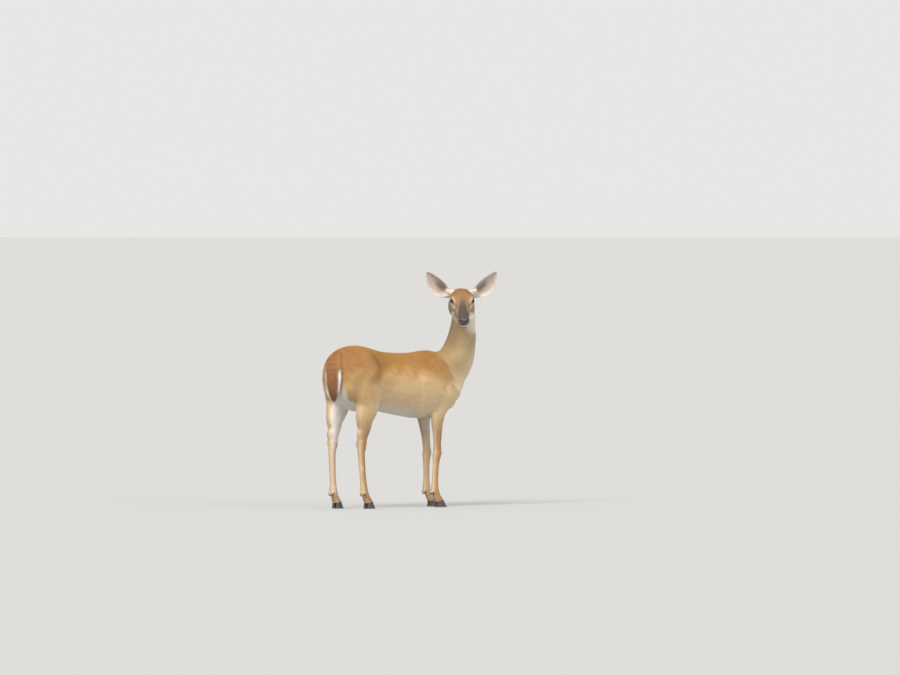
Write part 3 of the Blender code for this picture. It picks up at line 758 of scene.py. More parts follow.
def leg_colour(colour, rows, out, found):
    """Cinnamon shins, white on the inner sides and under the tail, a pale gland outside each shin."""
    leg = by_region(found, upper=1.0, lower=1.0)
    along, across, up = rows.T
    off_middle = np.abs(across - MIDLINE)
    hind = fall(along, -0.15, 0.0)
    shin = leg * fall(up, 0.36, 0.54)
    inward = -np.sign(across - MIDLINE) * out[:, 1]
    white = ramp(inward, 0.30, 0.85) * fall(up, 0.58, 0.64) * (0.30 + 0.70 * ramp(up, 0.26, 0.46))
    behind = np.maximum(ramp(-out[:, 0], 0.30, 0.80), ramp(-out[:, 2], 0.15, 0.50))
    behind = behind * ramp(up, 0.42, 0.48) * fall(up, 0.600, 0.665) * hind * fall(off_middle, 0.050, 0.085)
    between = fall(off_middle, 0.032, 0.064) * fall(along, -0.14, -0.06)
    between = between * ramp(up, 0.40, 0.48) * fall(up, 0.575, 0.630)
    gland = spot(mirrored(rows, MIDLINE), (-316, 78, 212), (22, 40, 22))
    return layered(
        colour,
        (CINNAMON, shin),
        (RED, 0.30 * ramp(out[:, 0], 0.3, 0.9) * shin),
        (WHITE, leg * white * (0.55 + 0.45 * hind)),
        (PALE, 0.45 * ramp(-out[:, 0], 0.3, 0.9) * shin),
        (WHITE, np.maximum(behind, between) * by_region(found, upper=1.0, trunk=1.0)),
        ((0.30, 0.17, 0.085), 0.6 * leg * fall(up, 0.045, 0.085)),
        (WHITE, 0.5 * gland * ramp(-inward, 0.2, 0.7)),
    )


def tail_table():
    """Up the tail: height, middle and half width across, and mean place along the spine."""
    solid = add_object("work", joined(["tail"], 0.0))
    solid = modified(solid, "SUBSURF", subdivision_type="SIMPLE", levels=2)
    rows = to_spine(positions(solid))
    levels = np.linspace(rows[:, 2].min(), rows[:, 2].max(), 14)
    table = []
    for low, high in zip(levels[:-1], levels[1:]):
        along, across, _ = rows[(rows[:, 2] >= low) & (rows[:, 2] <= high)].T
        half = (across.max() - across.min()) / 2
        table.append(((low + high) / 2, (across.min() + across.max()) / 2, half, along.mean()))
    return np.array(table)


TAIL = tail_table()


def on_tail(rows):
    """How far down the tail each point is, from 0 to 1, its distance from the tail's middle line, that
    distance as a share of the half width, and how far it lies ahead of the tail's mean."""
    low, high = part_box("tail")
    along, across, up = rows.T
    middle_line, half, mean = (np.interp(up, TAIL[:, 0], TAIL[:, column]) for column in (1, 2, 3))
    width = np.abs(across - middle_line)
    return (high.z - up) / (high.z - low.z), width, width / half, along - mean


def tail_colour(colour, rows, found):
    """Brown above and darker to the tip, with white edges and a white underside."""
    tail = by_region(found, tail=1.0)
    down, width, share, ahead = on_tail(rows)
    edge = ramp(share, 0.60, 0.86) * ramp(down, 0.34, 0.46)
    under = ramp(ahead, 0.000, 0.006) * ramp(down, 0.25, 0.40)
    return layered(
        colour,
        ((0.330, 0.148, 0.068), tail * ramp(down + 0.10 * (1 - width / 0.05), 0.05, 0.55)),
        ((0.185, 0.086, 0.046), 0.75 * tail * ramp(down, 0.50, 1.00)),
        ((0.150, 0.080, 0.044), 0.45 * tail * ramp(share, 0.40, 0.62) * ramp(down, 0.30, 0.45)),
        (WHITE, tail * np.maximum(edge, under)),
    )


def head_colour(colour, co, normal, found):
    """The face: red-brown brow, dark bridge, grey cheeks, white chin, muzzle band and eye rings."""
    rows = to_head(co)
    place = mirrored(rows) + noise(co, 0.02, 3)[:, None] * 0.003
    x, y, z = place.T
    drop = 0.050 - 0.33 * np.clip(x - 0.09, 0, None) - z          # below the line of the brow and nose
    brow = fall(drop, 0.016, 0.046) * fall(x, 0.085, 0.150)
    crown = fall(drop, 0.0, 0.03) * fall(np.abs(x - 0.045), 0.015, 0.06)
    narrow = 0.007 + 0.014 * ramp(x, 0.12, 0.23)
    bridge = ramp(x, 0.070, 0.180) * fall(y, narrow, narrow + 0.015) * fall(drop, 0.030, 0.055)
    muzzle = ramp(x, 0.185, 0.225) * fall(-z, 0.016, 0.032)
    cheek = ramp(x, 0.03, 0.06) * fall(x, 0.17, 0.21) * ramp(drop, 0.035, 0.065)
    band = fall(np.abs(x - 0.238), 0.003, 0.017) * ramp(-z, 0.004, 0.022)
    inside, distance, facing, rise = lid_measure(rows)
    about = (facing > 0.0) * fall(distance, 0.023, 0.031)
    throat = ramp(-normal[:, 2], 0.3, 0.7) * ramp(x, 0.0, 0.03) * ramp(drop, 0.07, 0.09)
    tone = layered(
        np.tile(np.array((0.280, 0.195, 0.116)), (len(co), 1)),
        ((0.330, 0.185, 0.074), brow),
        ((0.250, 0.115, 0.045), 0.5 * crown),
        ((0.066, 0.048, 0.035), 0.90 * bridge),
        ((0.085, 0.063, 0.047), 0.6 * muzzle),
        ((0.365, 0.265, 0.175), 0.6 * cheek),
        ((0.170, 0.112, 0.068), 0.7 * spot(place, (136, 42, 9), (18, 20, 9))),        # tear gland
        (WHITE, 0.95 * ramp(drop, 0.104, 0.120) * ramp(x, 0.02, 0.06)),               # under the jaw
        (WHITE, 0.9 * ramp(x, 0.19, 0.23) * ramp(-z, 0.038, 0.046)),                  # chin
        ((0.62, 0.54, 0.43), 0.8 * band),
        ((0.07, 0.05, 0.04), 0.8 * spot(place, (214, 31, -50), (12, 14, 14))),        # bar on the lip
        ((0.60, 0.51, 0.39), 0.75 * about * (1 - 0.6 * (rise > 0))),                  # ring round the eye
        ((0.60, 0.47, 0.40), 0.75 * spot(place, (124, 47, 2), (26, 26, 10))),         # under the eye
        (DARK, about * ramp(inside, -0.20, -0.11)),                                   # edges of the lids
        (DARK, 0.8 * spot(place, (121, 45, 15), (8, 9, 5))),                          # front corner
        (WHITE, throat),
    )
    return mix(colour, tone, by_region(found, head=1.0, nose=1.0) * ramp(x, -0.03, 0.02))


EAR_ROOT = np.array((0.003, 0.056, 0.021))
EAR_TIP = np.array((-0.009, 0.180, 0.138))
EAR_LINE = np.array([  # y, z of the middle of the ear's leaf, and half its width, from root to tip
    (0.034, 0.024, 0.018), (0.056, 0.021, 0.020), (0.079, 0.021, 0.026), (0.100, 0.033, 0.040),
    (0.121, 0.054, 0.046), (0.142, 0.081, 0.041), (0.161, 0.110, 0.026), (0.175, 0.131, 0.0125),
    (0.180, 0.138, 0.006),
])


def ear_measure(co, normal):
    """How far along the ear each point is, how far it faces the ear's opening, and its place across it,
    from -1 at the lower edge to 1 at the upper one."""
    rows = to_head(co)
    mirror = np.sign(rows[:, 1:2]) * (0, 1, 0) + (1, 0, 1)
    rows = rows * mirror
    out = (normal @ HEAD_INVERSE[:3, :3].T) * mirror
    length = EAR_TIP - EAR_ROOT
    upward = np.cross(length / np.linalg.norm(length), (-1.0, 0.0, 0.0))
    line = np.stack([np.zeros(len(EAR_LINE)), EAR_LINE[:, 0], EAR_LINE[:, 1]], axis=1) - EAR_ROOT
    along_line = line @ length / (length @ length)
    reach = (rows - EAR_ROOT) @ length / (length @ length)
    height = (rows - EAR_ROOT) @ upward - np.interp(reach, along_line, line @ upward)
    return reach, out[:, 0], height / np.interp(reach, along_line, EAR_LINE[:, 2])


def ear_colour(colour, co, normal, found):
    """Brown behind, darker to the tip; within, pinkish with a dark middle that is painted shade inside the
    cup, white edges and root.
    """
    reach, facing, height = ear_measure(co, normal)
    # painted shade: the darker middle of the ear's cup, where shadow falls inside it
    dark = fall(np.hypot((reach - 0.38) / 0.26, (height - 0.12) / 0.60), 0.25, 1.0)
    rim = np.maximum(ramp(-height, 0.50, 0.90), ramp(height, 0.55, 0.85))
    root = 0.6 * fall(reach, 0.10, 0.30) * (1 - dark)
    edge = ramp(np.abs(height), 0.84, 0.94) * ramp(facing, -0.75, -0.35) * fall(reach, 0.88, 0.98)
    back = layered(
        np.tile(np.array((0.36, 0.245, 0.145)), (len(co), 1)),
        ((0.12, 0.085, 0.060), 0.8 * ramp(reach, 0.55, 1.0)),
    )
    front = layered(
        np.tile(np.array((0.60, 0.49, 0.43)), (len(co), 1)),
        ((0.29, 0.245, 0.215), 0.80 * dark),
        (EAR_WHITE, 0.85 * np.maximum(rim, root)),
        ((0.30, 0.24, 0.20), 0.5 * ramp(reach, 0.90, 1.0)),
    )
    tone = layered(back, (front, ramp(facing, -0.10, 0.20)), (EAR_WHITE, 0.8 * edge))
    return mix(colour, tone, by_region(found, ear=1.0))


def nose_share(co):
    """1 on the bare leather of the nose: over and between the nostrils, down to the lip."""
    x, y, z = to_head(co).T
    edge = 0.2475 + 0.30 * np.clip(-z - 0.012, 0, None) + 0.16 * np.clip(z + 0.010, 0, None)
    edge = edge + 10.0 * np.clip(np.abs(y) - 0.006, 0, None) * np.clip(-z - 0.026, 0, None)
    near = (np.abs(y) < 0.05) & (x < 0.30)
    return near * ramp(x - edge, -0.0012, 0.0012) * ramp(z, -0.046, -0.043)


def coat_colour(co, normal, broad, found):
    """The coat's colour at points of the skin, in linear values. The broad normals leave out small folds."""
    colour, rows, out = body_colour(co, broad, found)
    colour = leg_colour(colour, rows, out, found)
    colour = tail_colour(colour, rows, found)
    colour = head_colour(colour, co, normal, found)
    colour = ear_colour(colour, co, normal, found)
    colour = mix(colour, (0.028, 0.024, 0.022), nose_share(co))
    return np.clip(colour, 0.01, 0.9)


# ---------------------------------------------------------------- materials


def put(tree, node, inputs):
    """Sets a node's inputs to numbers or colours, or links them to output sockets."""
    for name, value in inputs.items():
        if isinstance(value, bpy.types.NodeSocket):
            tree.links.new(value, node.inputs[name])
        else:
            node.inputs[name].default_value = (*value, 1) if isinstance(value, tuple) else value


def new_node(tree, kind, inputs, **settings):
    """Makes a node with the inputs and settings, and gives its outputs."""
    node = tree.nodes.new("ShaderNode" + kind)
    for name, value in settings.items():
        setattr(node, name, value)
    put(tree, node, inputs)
    return node.outputs


def material(name):
    """A new material, with its nodes and its shader."""
    made = bpy.data.materials.new(name)
    made.use_nodes = True
    return made, made.node_tree, made.node_tree.nodes["Principled BSDF"]


def place_on(tree):
    """The place on the doe, in metres."""
    return new_node(tree, "TexCoord", {})["Object"]


def noise_node(tree, scale, detail=3.0):
    """Noise that varies about scale times in a metre."""
    inputs = {"Vector": place_on(tree), "Scale": scale, "Detail": detail, "Roughness": 0.6}
    return new_node(tree, "TexNoise", inputs)["Fac"]


def bump(tree, height, strength, distance, invert=False):
    """The normal over a surface that rises by the height."""
    inputs = {"Height": height, "Strength": strength, "Distance": distance}
    return new_node(tree, "Bump", inputs, invert=invert)["Normal"]


def maths(tree, operation, a, b=None):
    """The result of a Math node; a and b are numbers or output sockets."""
    return new_node(tree, "Math", {0: a} if b is None else {0: a, 1: b}, operation=operation)["Value"]


def ranged(tree, value, low, high):
    """0 below low, 1 above high, and a smooth rise between them; low may be the larger."""
    inputs = {"Value": value, "From Min": low, "From Max": high}
    return new_node(tree, "MapRange", inputs, interpolation_type="SMOOTHSTEP")["Result"]


def blended_colour(tree, share, a, b):
    """A colour between a and b, which are colours or output sockets."""
    return new_node(tree, "Mix", {"Factor": share, 6: a, 7: b}, data_type="RGBA")[2]


def coat_material(name, roughness):
    """Takes its colour from the mesh, varied finely, with a fine bump."""
    made, tree, shader = material(name)
    stored = new_node(tree, "VertexColor", {}, layer_name="coat")["Color"]
    grain = noise_node(tree, 900.0)
    shade = new_node(tree, "MapRange", {"Value": grain, "To Min": 0.80, "To Max": 1.16})["Result"]
    tone = new_node(tree, "VectorMath", {0: stored, "Scale": shade}, operation="SCALE")["Vector"]
    put(tree, shader, {"Base Color": tone, "Roughness": roughness, "Specular IOR Level": 0.25,
                       "Normal": bump(tree, grain, 0.5, 0.0006)})
    return made


def store_colour(mesh, name, *columns):
    """A colour attribute of the mesh; its last columns stay 1."""
    layer = mesh.color_attributes.new(name, "FLOAT_COLOR", "POINT")
    values = np.ones((len(mesh.vertices), 4), np.float32)
    for index, column in enumerate(columns):
        values[:, index] = column
    layer.data.foreach_set("color", values.ravel())


# ---------------------------------------------------------------- the skin

skin_mesh = whole_skin()
skin_co = positions(skin_mesh)
skin_normal = normals(skin_mesh)
skin_spread = Spread(skin_mesh)
skin_region = region_shares(regions(skin_co), skin_spread)
skin_colour = coat_colour(skin_co, skin_normal, unit(skin_spread.blur(skin_normal, 26)), skin_region)
store_colour(skin_mesh, "coat", *skin_colour.T)
add_piece("skin", skin_mesh, coat_material("coat", 0.75), "coat", *FLESH)


# ---------------------------------------------------------------- the coat's map


def chart_of(mesh):
    """For each triangle, its chart: the part that it is on, and the way it mostly faces."""
    faces = triangles(mesh)
    corners = positions(mesh)[faces]
    middles = corners.mean(axis=1)
    part = skin_region[faces].sum(axis=1).argmax(axis=1)
    on_head = np.isin(part, [REGIONS.index(name) for name in ("head", "nose", "ear")])
    corners[on_head] = to_head(corners[on_head].reshape(-1, 3)).reshape(-1, 3, 3)
    facing = np.cross(corners[:, 1] - corners[:, 0], corners[:, 2] - corners[:, 0])
    axis = np.abs(facing).argmax(axis=1)
    axis[part == REGIONS.index("ear")] = 0
    sign = np.take_along_axis(facing, axis[:, None], axis=1)[:, 0] > 0
    left = (to_head(middles)[:, 1] > 0) * (part == REGIONS.index("ear"))
    rows = to_spine(middles)
    leg = (part >= REGIONS.index("upper")) * ((rows[:, 1] > MIDLINE) + 2 * (rows[:, 0] > 0))
    return faces, corners, (part * 8 + left + leg) * 6 + axis * 2 + sign, axis


CHART_GAP = 0.010          # between two charts on the map, before it is scaled


def unwrap(mesh):
    """The skin's map: each chart seen square on, all at one scale, set in rows. Gives the triangles and the
    places of their corners."""
    faces, corners, chart, axis = chart_of(mesh)
    across, up = (axis + 1) % 3, (axis + 2) % 3
    rows = np.arange(len(faces))
    flat = np.stack([corners[rows, :, across], corners[rows, :, up]], axis=2)
    names, which = np.unique(chart, return_inverse=True)
    low = np.full((len(names), 2), 1e9)
    high = np.full((len(names), 2), -1e9)
    np.minimum.at(low, which, flat.min(axis=1))
    np.maximum.at(high, which, flat.max(axis=1))
    sizes = high - low + CHART_GAP
    turned = sizes[:, 0] < sizes[:, 1]
    sizes[turned] = sizes[turned][:, ::-1]
    width = math.sqrt(sizes.prod(axis=1).sum()) * 1.12
    while True:
        place, x, y, tall = np.zeros_like(sizes), 0.0, 0.0, 0.0
        for k in np.argsort(-sizes[:, 1]):
            if x + sizes[k, 0] > width:
                x, y, tall = 0.0, y + tall, 0.0
            place[k] = (x, y)
            x += sizes[k, 0]
            tall = max(tall, sizes[k, 1])
        if y + tall <= width:
            break
        width *= 1.03
    local = flat - low[which][:, None, :] + CHART_GAP / 2
    local = np.where(turned[which][:, None, None], local[:, :, ::-1], local)
    return faces, (local + place[which][:, None, :]) / width


def store_map(mesh, places):
    """Stores the map that the looks are baked onto."""
    layer = mesh.uv_layers.new(name="OFBake")
    layer.data.foreach_set("uv", np.clip(places, 0.0005, 0.9995).astype(np.float32).ravel())


# ---------------------------------------------------------------- the lie of the coat


def lie_of_coat(co, normal, found, spread):
    """Which way the hair points at each vertex, along the surface."""
    rows = to_spine(co)
    along = rows[:, 0]
    heading = unit(co - from_spine(rows + (0.01, 0, 0)))
    slope = 0.25 + 0.9 * fall(along, -0.44, -0.30) + 0.5 * ramp(along, 0.14, 0.26)
    down = np.array((0, 0, -1.0))
    trunk = heading + down * slope[:, None]
    neck = from_spine((0.20, 0, 0.70))[0] - HEAD_ORIGIN
    neck /= np.linalg.norm(neck)
    face = to_head(co)
    side = np.sign(face[:, 1]) * ramp(np.abs(face[:, 1]), 0.004, 0.03)
    sink = -0.15 - 0.5 * ramp(-face[:, 2], 0.0, 0.05)
    head = np.stack([np.full(len(co), -1.0), side * 0.35, sink], axis=1) @ HEAD_AXES.T
    ear = (EAR_TIP - EAR_ROOT) * (np.array([1, 0, 1]) + np.sign(face[:, 1:2]) * (0, 1, 0))
    ways = {
        "trunk": trunk, "neck": neck + down * 0.2, "head": head, "nose": head,
        "ear": unit(ear) @ HEAD_AXES.T, "tail": down,
        "upper": down + heading * 0.25, "lower": down + heading * 0.1,
    }
    flow = np.zeros_like(co)
    for name, way in ways.items():
        flow += by_region(found, **{name: 1.0})[:, None] * way
    fine = spread.blur(flow, 25)
    broad = by_region(found, trunk=1.0, neck=1.0, upper=1.0)[:, None]
    flow = fine + (spread.blur(fine, 70) - fine) * broad
    flow -= normal * (flow * normal).sum(axis=1)[:, None]
    return unit(flow)


HAIR = {                   # of each region: length, width and stand, in metres, and tufts per square metre
    "trunk": (0.0125, 0.0017, 0.0027, 200e3),
    "neck": (0.0130, 0.0016, 0.0024, 230e3),
    "head": (0.0062, 0.0010, 0.0010, 360e3),
    "ear": (0.0050, 0.0009, 0.0008, 320e3),
    "tail": (0.0200, 0.0019, 0.0036, 300e3),
    "upper": (0.0105, 0.0017, 0.0022, 205e3),
    "lower": (0.0062, 0.0012, 0.0010, 300e3),
}


def coat_fields(co, normal, found, spread):
    """At each vertex: the hair's length, width and stand, in metres, and tufts for each square metre."""
    rows = to_spine(co)
    along, _, up = rows.T
    face = to_head(co)
    x, z = face[:, 0], face[:, 2]
    length, width, stand, density = (
        by_region(found, **{name: row[column] for name, row in HAIR.items()}) for column in range(4))
    on_head = by_region(found, head=1.0)
    muzzle = on_head * ramp(x, 0.10, 0.23)
    length *= 1 - 0.5 * muzzle
    stand *= 1 - 0.55 * muzzle
    width *= 1 - 0.25 * muzzle
    cheek = on_head * fall(x, 0.04, 0.10) * ramp(-z, 0.0, 0.04)
    length *= 1 + 0.7 * cheek
    stand *= 1 + 0.8 * cheek
    reach, facing, height = ear_measure(co, normal)
    ear = by_region(found, ear=1.0)
    fringe = ear * ramp(facing, 0.0, 0.3)
    fringe = fringe * np.maximum(ramp(np.abs(height), 0.50, 0.85), fall(reach, 0.1, 0.4))
    rim = ear * ramp(np.abs(height), 0.80, 0.96)
    length += 0.007 * fringe * (1 - rim)
    stand += 0.0010 * fringe * (1 - rim)
    stand *= 1 - 0.5 * rim
    length *= 1 - 0.25 * rim
    length *= 1 - 0.5 * ear * ramp(reach, 0.92, 1.0)
    belly = by_region(found, trunk=1.0) * ramp(-normal[:, 2], 0.4, 0.9)
    length += 0.005 * belly
    rump = fall(along, -0.42, -0.34)
    length += 0.003 * rump * by_region(found, trunk=1.0, upper=1.0)
    down, _, tail_share, _ = on_tail(rows)
    tail = by_region(found, tail=1.0)
    length += tail * 0.012 * ramp(down, 0.2, 0.7)
    outer = tail * np.maximum(ramp(tail_share, 0.55, 0.90), ramp(down, 0.82, 0.95))
    length *= 1 - 0.55 * outer
    stand *= 1 - 0.70 * outer
    stand *= 1 - 0.55 * tail * fall(down, 0.05, 0.25)
    gland = spot(mirrored(rows, MIDLINE), (-322, 62, 352), (26, 26, 26))
    length += 0.010 * gland
    stand += 0.0030 * gland
    inside, distance, opening, _ = lid_measure(face)
    about = (opening > 0) * (distance < 0.026)
    bare = np.maximum(nose_share(co), about * ramp(inside, -0.13, -0.05))
    density *= fall(bare, 0.25, 0.5)
    length *= np.where(about, 0.6, 1.0)
    foot = ramp(up, 0.030, 0.050)
    return spread.blur(np.stack([length, width, stand], axis=1), 3), density * foot


def sample_roots(areas, faces, density, random):
    """Picks a triangle, and a place on it, for each tuft."""
    share = areas * density[faces].mean(axis=1)
    total = np.cumsum(share)
    at = np.arange(0.5, total[-1])
    at = at + random.uniform(-0.45, 0.45, len(at))
    picked = np.searchsorted(total, at)
    a, b = random.uniform(size=(2, len(picked)))
    over = a + b > 1
    a[over], b[over] = 1 - a[over], 1 - b[over]
    return np.minimum(picked, len(faces) - 1), np.stack([1 - a - b, a, b], axis=1)


# Painted shade: each tuft is darker at its root, where the hairs shade one another; its tip is a little
# lighter.
TUFT_SHADE = (0.84, 0.84, 1.0, 1.10)       # two corners of the root, the crest and the tip
TUFT_DEPTH = 0.0003                        # how far under the skin the roots lie
TUFT_SPOT = 0.0015                         # half the size of a tuft's place on the map


def tuft_mesh(name, root, normal, flow, size, colour, place, random):
    """Closed blades of four triangles: a flat root of three corners under the skin's surface, and a tip."""
    count = len(root)
    length, width, stand = size.T
    across = np.cross(normal, flow)
    sway = random.normal(0, 0.16, count)
    way = unit(flow + across * sway[:, None])
    across = unit(np.cross(normal, way))
    length = length * random.uniform(0.75, 1.25, count)
    width = width * random.uniform(0.8, 1.2, count)
    rise = stand * random.uniform(0.35, 1.0, count)
    base = root - normal * TUFT_DEPTH
    half = across * (width / 2)[:, None]
    crest = base + way * (0.30 * length)[:, None] + normal * (0.8 * rise + TUFT_DEPTH)[:, None]
    tip = base + way * length[:, None] + normal * (rise + TUFT_DEPTH)[:, None]
    co = np.stack([base - half, base + half, crest, tip], axis=1)
    faces = np.array([(0, 2, 1), (1, 2, 3), (3, 2, 0), (0, 1, 3)])
    all_faces = (np.arange(count)[:, None, None] * 4 + faces).reshape(-1, 3)
    mesh = new_mesh(name, within(co.reshape(-1, 3)), all_faces)
    # painted shade at the roots from TUFT_SHADE, times a random tone for each tuft
    shade = random.normal(1.0, 0.075, count)[:, None, None] * np.array(TUFT_SHADE)[None, :, None]
    tint = 1 + random.normal(0, 0.02, (count, 1, 3))
    tones = np.clip(colour[:, None, :] * shade * tint, 0.008, 0.95).reshape(-1, 3)
    store_colour(mesh, "coat", *tones.T)
    sides = [unit(normal + across * lean) for lean in (-0.45, 0.45)]
    corners = np.stack([*sides, normal, unit(normal + way * 0.35)], axis=1)[:, faces.ravel(), :]
    corners[:, 9:, :] = unit(way * 0.3 - normal)[:, None, :]
    mesh.shade_smooth()
    mesh.normals_split_custom_set(corners.reshape(-1, 3).tolist())
    corner = np.array([(-1, -1), (1, -1), (0, 0), (0, 1)]) * TUFT_SPOT
    spots = place[:, None, :] + corner[None, :, :]
    store_map(mesh, spots[:, faces.ravel(), :].reshape(-1, 2))
    return mesh


def coat_pieces(faces, places):
    """The tufts over all the skin, in pieces of fewer than 200,000 triangles."""
    random = np.random.default_rng(SEED)
    corners = skin_co[faces]
    spans = np.cross(corners[:, 1] - corners[:, 0], corners[:, 2] - corners[:, 0])
    areas = np.linalg.norm(spans, axis=1) / 2
    flow = lie_of_coat(skin_co, skin_normal, skin_region, skin_spread)
    size, density = coat_fields(skin_co, skin_normal, skin_region, skin_spread)
    picked, weights = sample_roots(areas, faces, density, random)
    at = faces[picked]

    def blended(values):
        return (values[at] * weights[:, :, None]).sum(axis=1)

    root, normal, size = blended(skin_co), unit(blended(skin_normal)), blended(size)
    way = blended(flow)
    way = unit(way - normal * (way * normal).sum(axis=1)[:, None])
    colour = blended(skin_colour)
    place = (places[picked] * weights[:, :, None]).sum(axis=1)
    part = skin_region[at[:, 0]].argmax(axis=1)
    made = coat_material("coat_tufts", 0.62)
    part[part == REGIONS.index("nose")] = REGIONS.index("head")
    for region in HAIR:
        chosen = np.flatnonzero(part == REGIONS.index(region))
        chosen = chosen[np.argsort(to_spine(root[chosen])[:, 0], kind="stable")]
        count = max(1, math.ceil(len(chosen) / PIECE_TUFTS))
        for number, few in enumerate(np.array_split(chosen, count), 1):
            name = f"coat_{region}_{number}"
            values = (each[few] for each in (root, normal, way, size, colour, place))
            add_piece(name, tuft_mesh(name, *values, random), made, "coat")


def bristles(name, root, way, up, length, width, colour, places):
    """Single stiff hairs, such as lashes and whiskers."""
    random = np.random.default_rng(SEED + 7)
    size = np.stack([length, width, np.full(len(root), 0.0004)], axis=1)
    up = unit(up - way * (up * way).sum(axis=1)[:, None])
    mesh = tuft_mesh(name, root, up, way, size, np.tile(np.array(colour), (len(root), 1)), places, random)
    add_piece(name, mesh, bpy.data.materials["coat_tufts"], "coat")


def lashes(vertex_place):
    """Two rows of lashes on each upper lid."""
    ahead, up = eye_axes()
    across = np.concatenate([np.linspace(-0.76, 0.70, 26), np.linspace(-0.70, 0.64, 22)]) * LID_LENGTH
    share = np.abs(across) / LID_LENGTH
    rise = LID_RISE * np.maximum(1 - share ** 2.2, 0) ** 0.75 + np.repeat((0.03, 0.07), (26, 22))
    way = unit(np.tan(across)[:, None] * ahead + np.tan(rise)[:, None] * up + EYE_AXIS)
    root = eye_centre() + way * (EYE_RADIUS + 0.0010)
    point = unit(way + 0.35 * across[:, None] * ahead - 0.15 * up)
    length = 0.0062 * (0.5 + 0.5 * np.cos(across))
    for name, side in (("left", 1), ("right", -1)):
        mirror = np.array((1, side, 1))
        roots = from_head(root * mirror)
        upward = np.tile((up * mirror) @ HEAD_AXES.T, (len(root), 1))
        bristles(f"lashes_{name}", roots, (point * mirror) @ HEAD_AXES.T, upward, length,
                 np.full(len(root), 0.00038), (0.035, 0.027, 0.022), vertex_place(roots))


def whiskers(vertex_place):
    """A few long hairs on the lips and chin."""
    random = np.random.default_rng(SEED + 9)
    x, y, z = to_head(skin_co).T
    lip = (x > 0.195) & (x < 0.256) & (z > -0.065) & (z < -0.020) & (np.abs(y) > 0.010)
    chosen = random.choice(np.flatnonzero(lip), 30, replace=False)
    forward = HEAD_AXES[:, 0]
    way = unit(skin_normal[chosen] * 0.8 + forward * random.uniform(-0.3, 0.5, (30, 1)) + (0, 0, -0.25))
    bristles("whiskers", skin_co[chosen], way, np.tile((0.01, 0.01, 1.0), (30, 1)),
             random.uniform(0.009, 0.019, 30), np.full(30, 0.00032), (0.16, 0.13, 0.105),
             vertex_place(skin_co[chosen]))


def dress():
    """Maps the skin, and sets the coat, lashes and whiskers on it."""
    faces, places = unwrap(skin_mesh)
    store_map(skin_mesh, places.reshape(-1, 2))
    coat_pieces(faces, places)
    by_vertex = np.zeros((len(skin_co), 2))
    by_vertex[faces.ravel()] = places.reshape(-1, 2)

    def vertex_place(points):
        return np.array([by_vertex[((skin_co - point) ** 2).sum(axis=1).argmin()] for point in points])

    lashes(vertex_place)
    whiskers(vertex_place)


dress()


# ---------------------------------------------------------------- eyes


def eye_material():
    """A wide dark iris with a long level pupil, under a wet surface."""
    made, tree, shader = material("eye")
    stored = new_node(tree, "VertexColor", {}, layer_name="gaze")["Color"]
    parts = new_node(tree, "SeparateXYZ", {"Vector": stored})
    across, up = (maths(tree, "SUBTRACT", parts[axis], 0.5) for axis in ("X", "Y"))

    def square(value):
        return maths(tree, "POWER", maths(tree, "ABSOLUTE", value), 2.0)

    def length(a, b):
        return maths(tree, "SQRT", maths(tree, "ADD", square(a), square(b)))

    from_centre = length(across, up)
    from_pupil = length(maths(tree, "MULTIPLY", across, 0.50), up)
    streaks = noise_node(tree, 1400.0, 4.0)
    iris = blended_colour(tree, streaks, (0.010, 0.005, 0.003), (0.052, 0.025, 0.011))
    iris = blended_colour(tree, ranged(tree, from_pupil, 0.052, 0.068), (0.003, 0.003, 0.004), iris)
    iris = blended_colour(tree, ranged(tree, from_centre, 0.165, 0.205), iris, (0.012, 0.008, 0.006))
    iris = blended_colour(tree, ranged(tree, from_centre, 0.215, 0.240), iris, (0.080, 0.055, 0.040))
    put(tree, shader, {"Base Color": iris, "Roughness": 0.05, "Specular IOR Level": 0.42})
    return made


def eyeball(side, made):
    """Rings round the line of sight; the clear front bulges. Each point stores its angle from that line."""
    rings, spokes = 56, 72
    theta = np.linspace(0, math.pi, rings + 1)[1:-1]
    phi = np.linspace(0, 2 * math.pi, spokes, endpoint=False)
    ahead, up = eye_axes()
    away = np.concatenate([[0.0], np.repeat(theta, spokes), [math.pi]])
    turn = np.concatenate([[0.0], np.tile(phi, rings - 1), [0.0]])
    bulge = 0.0011 * np.clip(1 - (away / math.radians(36)) ** 2, 0, None) ** 1.5
    way = (np.cos(away)[:, None] * EYE_AXIS + (np.sin(away) * np.cos(turn))[:, None] * ahead
           + (np.sin(away) * np.sin(turn))[:, None] * up)
    mirror = np.array((1, side, 1))
    co = from_head((eye_centre() + way * (EYE_RADIUS + bulge)[:, None]) * mirror)
    last = len(co) - 1
    ring = np.arange(rings - 2)[:, None] * spokes + 1
    here, after = np.arange(spokes), (np.arange(spokes) + 1) % spokes
    quads = np.stack([ring + here, ring + spokes + here, ring + spokes + after, ring + after], axis=2)
    quads = quads.reshape(-1, 4)
    bands = np.concatenate([quads[:, (0, 1, 2)], quads[:, (0, 2, 3)]])
    front = np.stack([np.zeros(spokes, int), 1 + here, 1 + after], axis=1)
    rear = np.stack([np.full(spokes, last), last - spokes + after, last - spokes + here], axis=1)
    faces = np.concatenate([front, bands, rear])
    mesh = new_mesh("eyeball", co, faces if side > 0 else faces[:, ::-1])
    store_colour(mesh, "gaze", 0.5 + away * np.cos(turn + EYE_TILT) / math.pi,
                 0.5 + away * np.sin(turn + EYE_TILT) / math.pi)
    mesh.shade_smooth()
    name = "left" if side > 0 else "right"
    add_piece(f"eyeball_{name}", mesh, made, "eye", f"eye_{name}")


def eyes():
    made = eye_material()
    for side in (1, -1):
        eyeball(side, made)


eyes()


# ---------------------------------------------------------------- nose and hooves


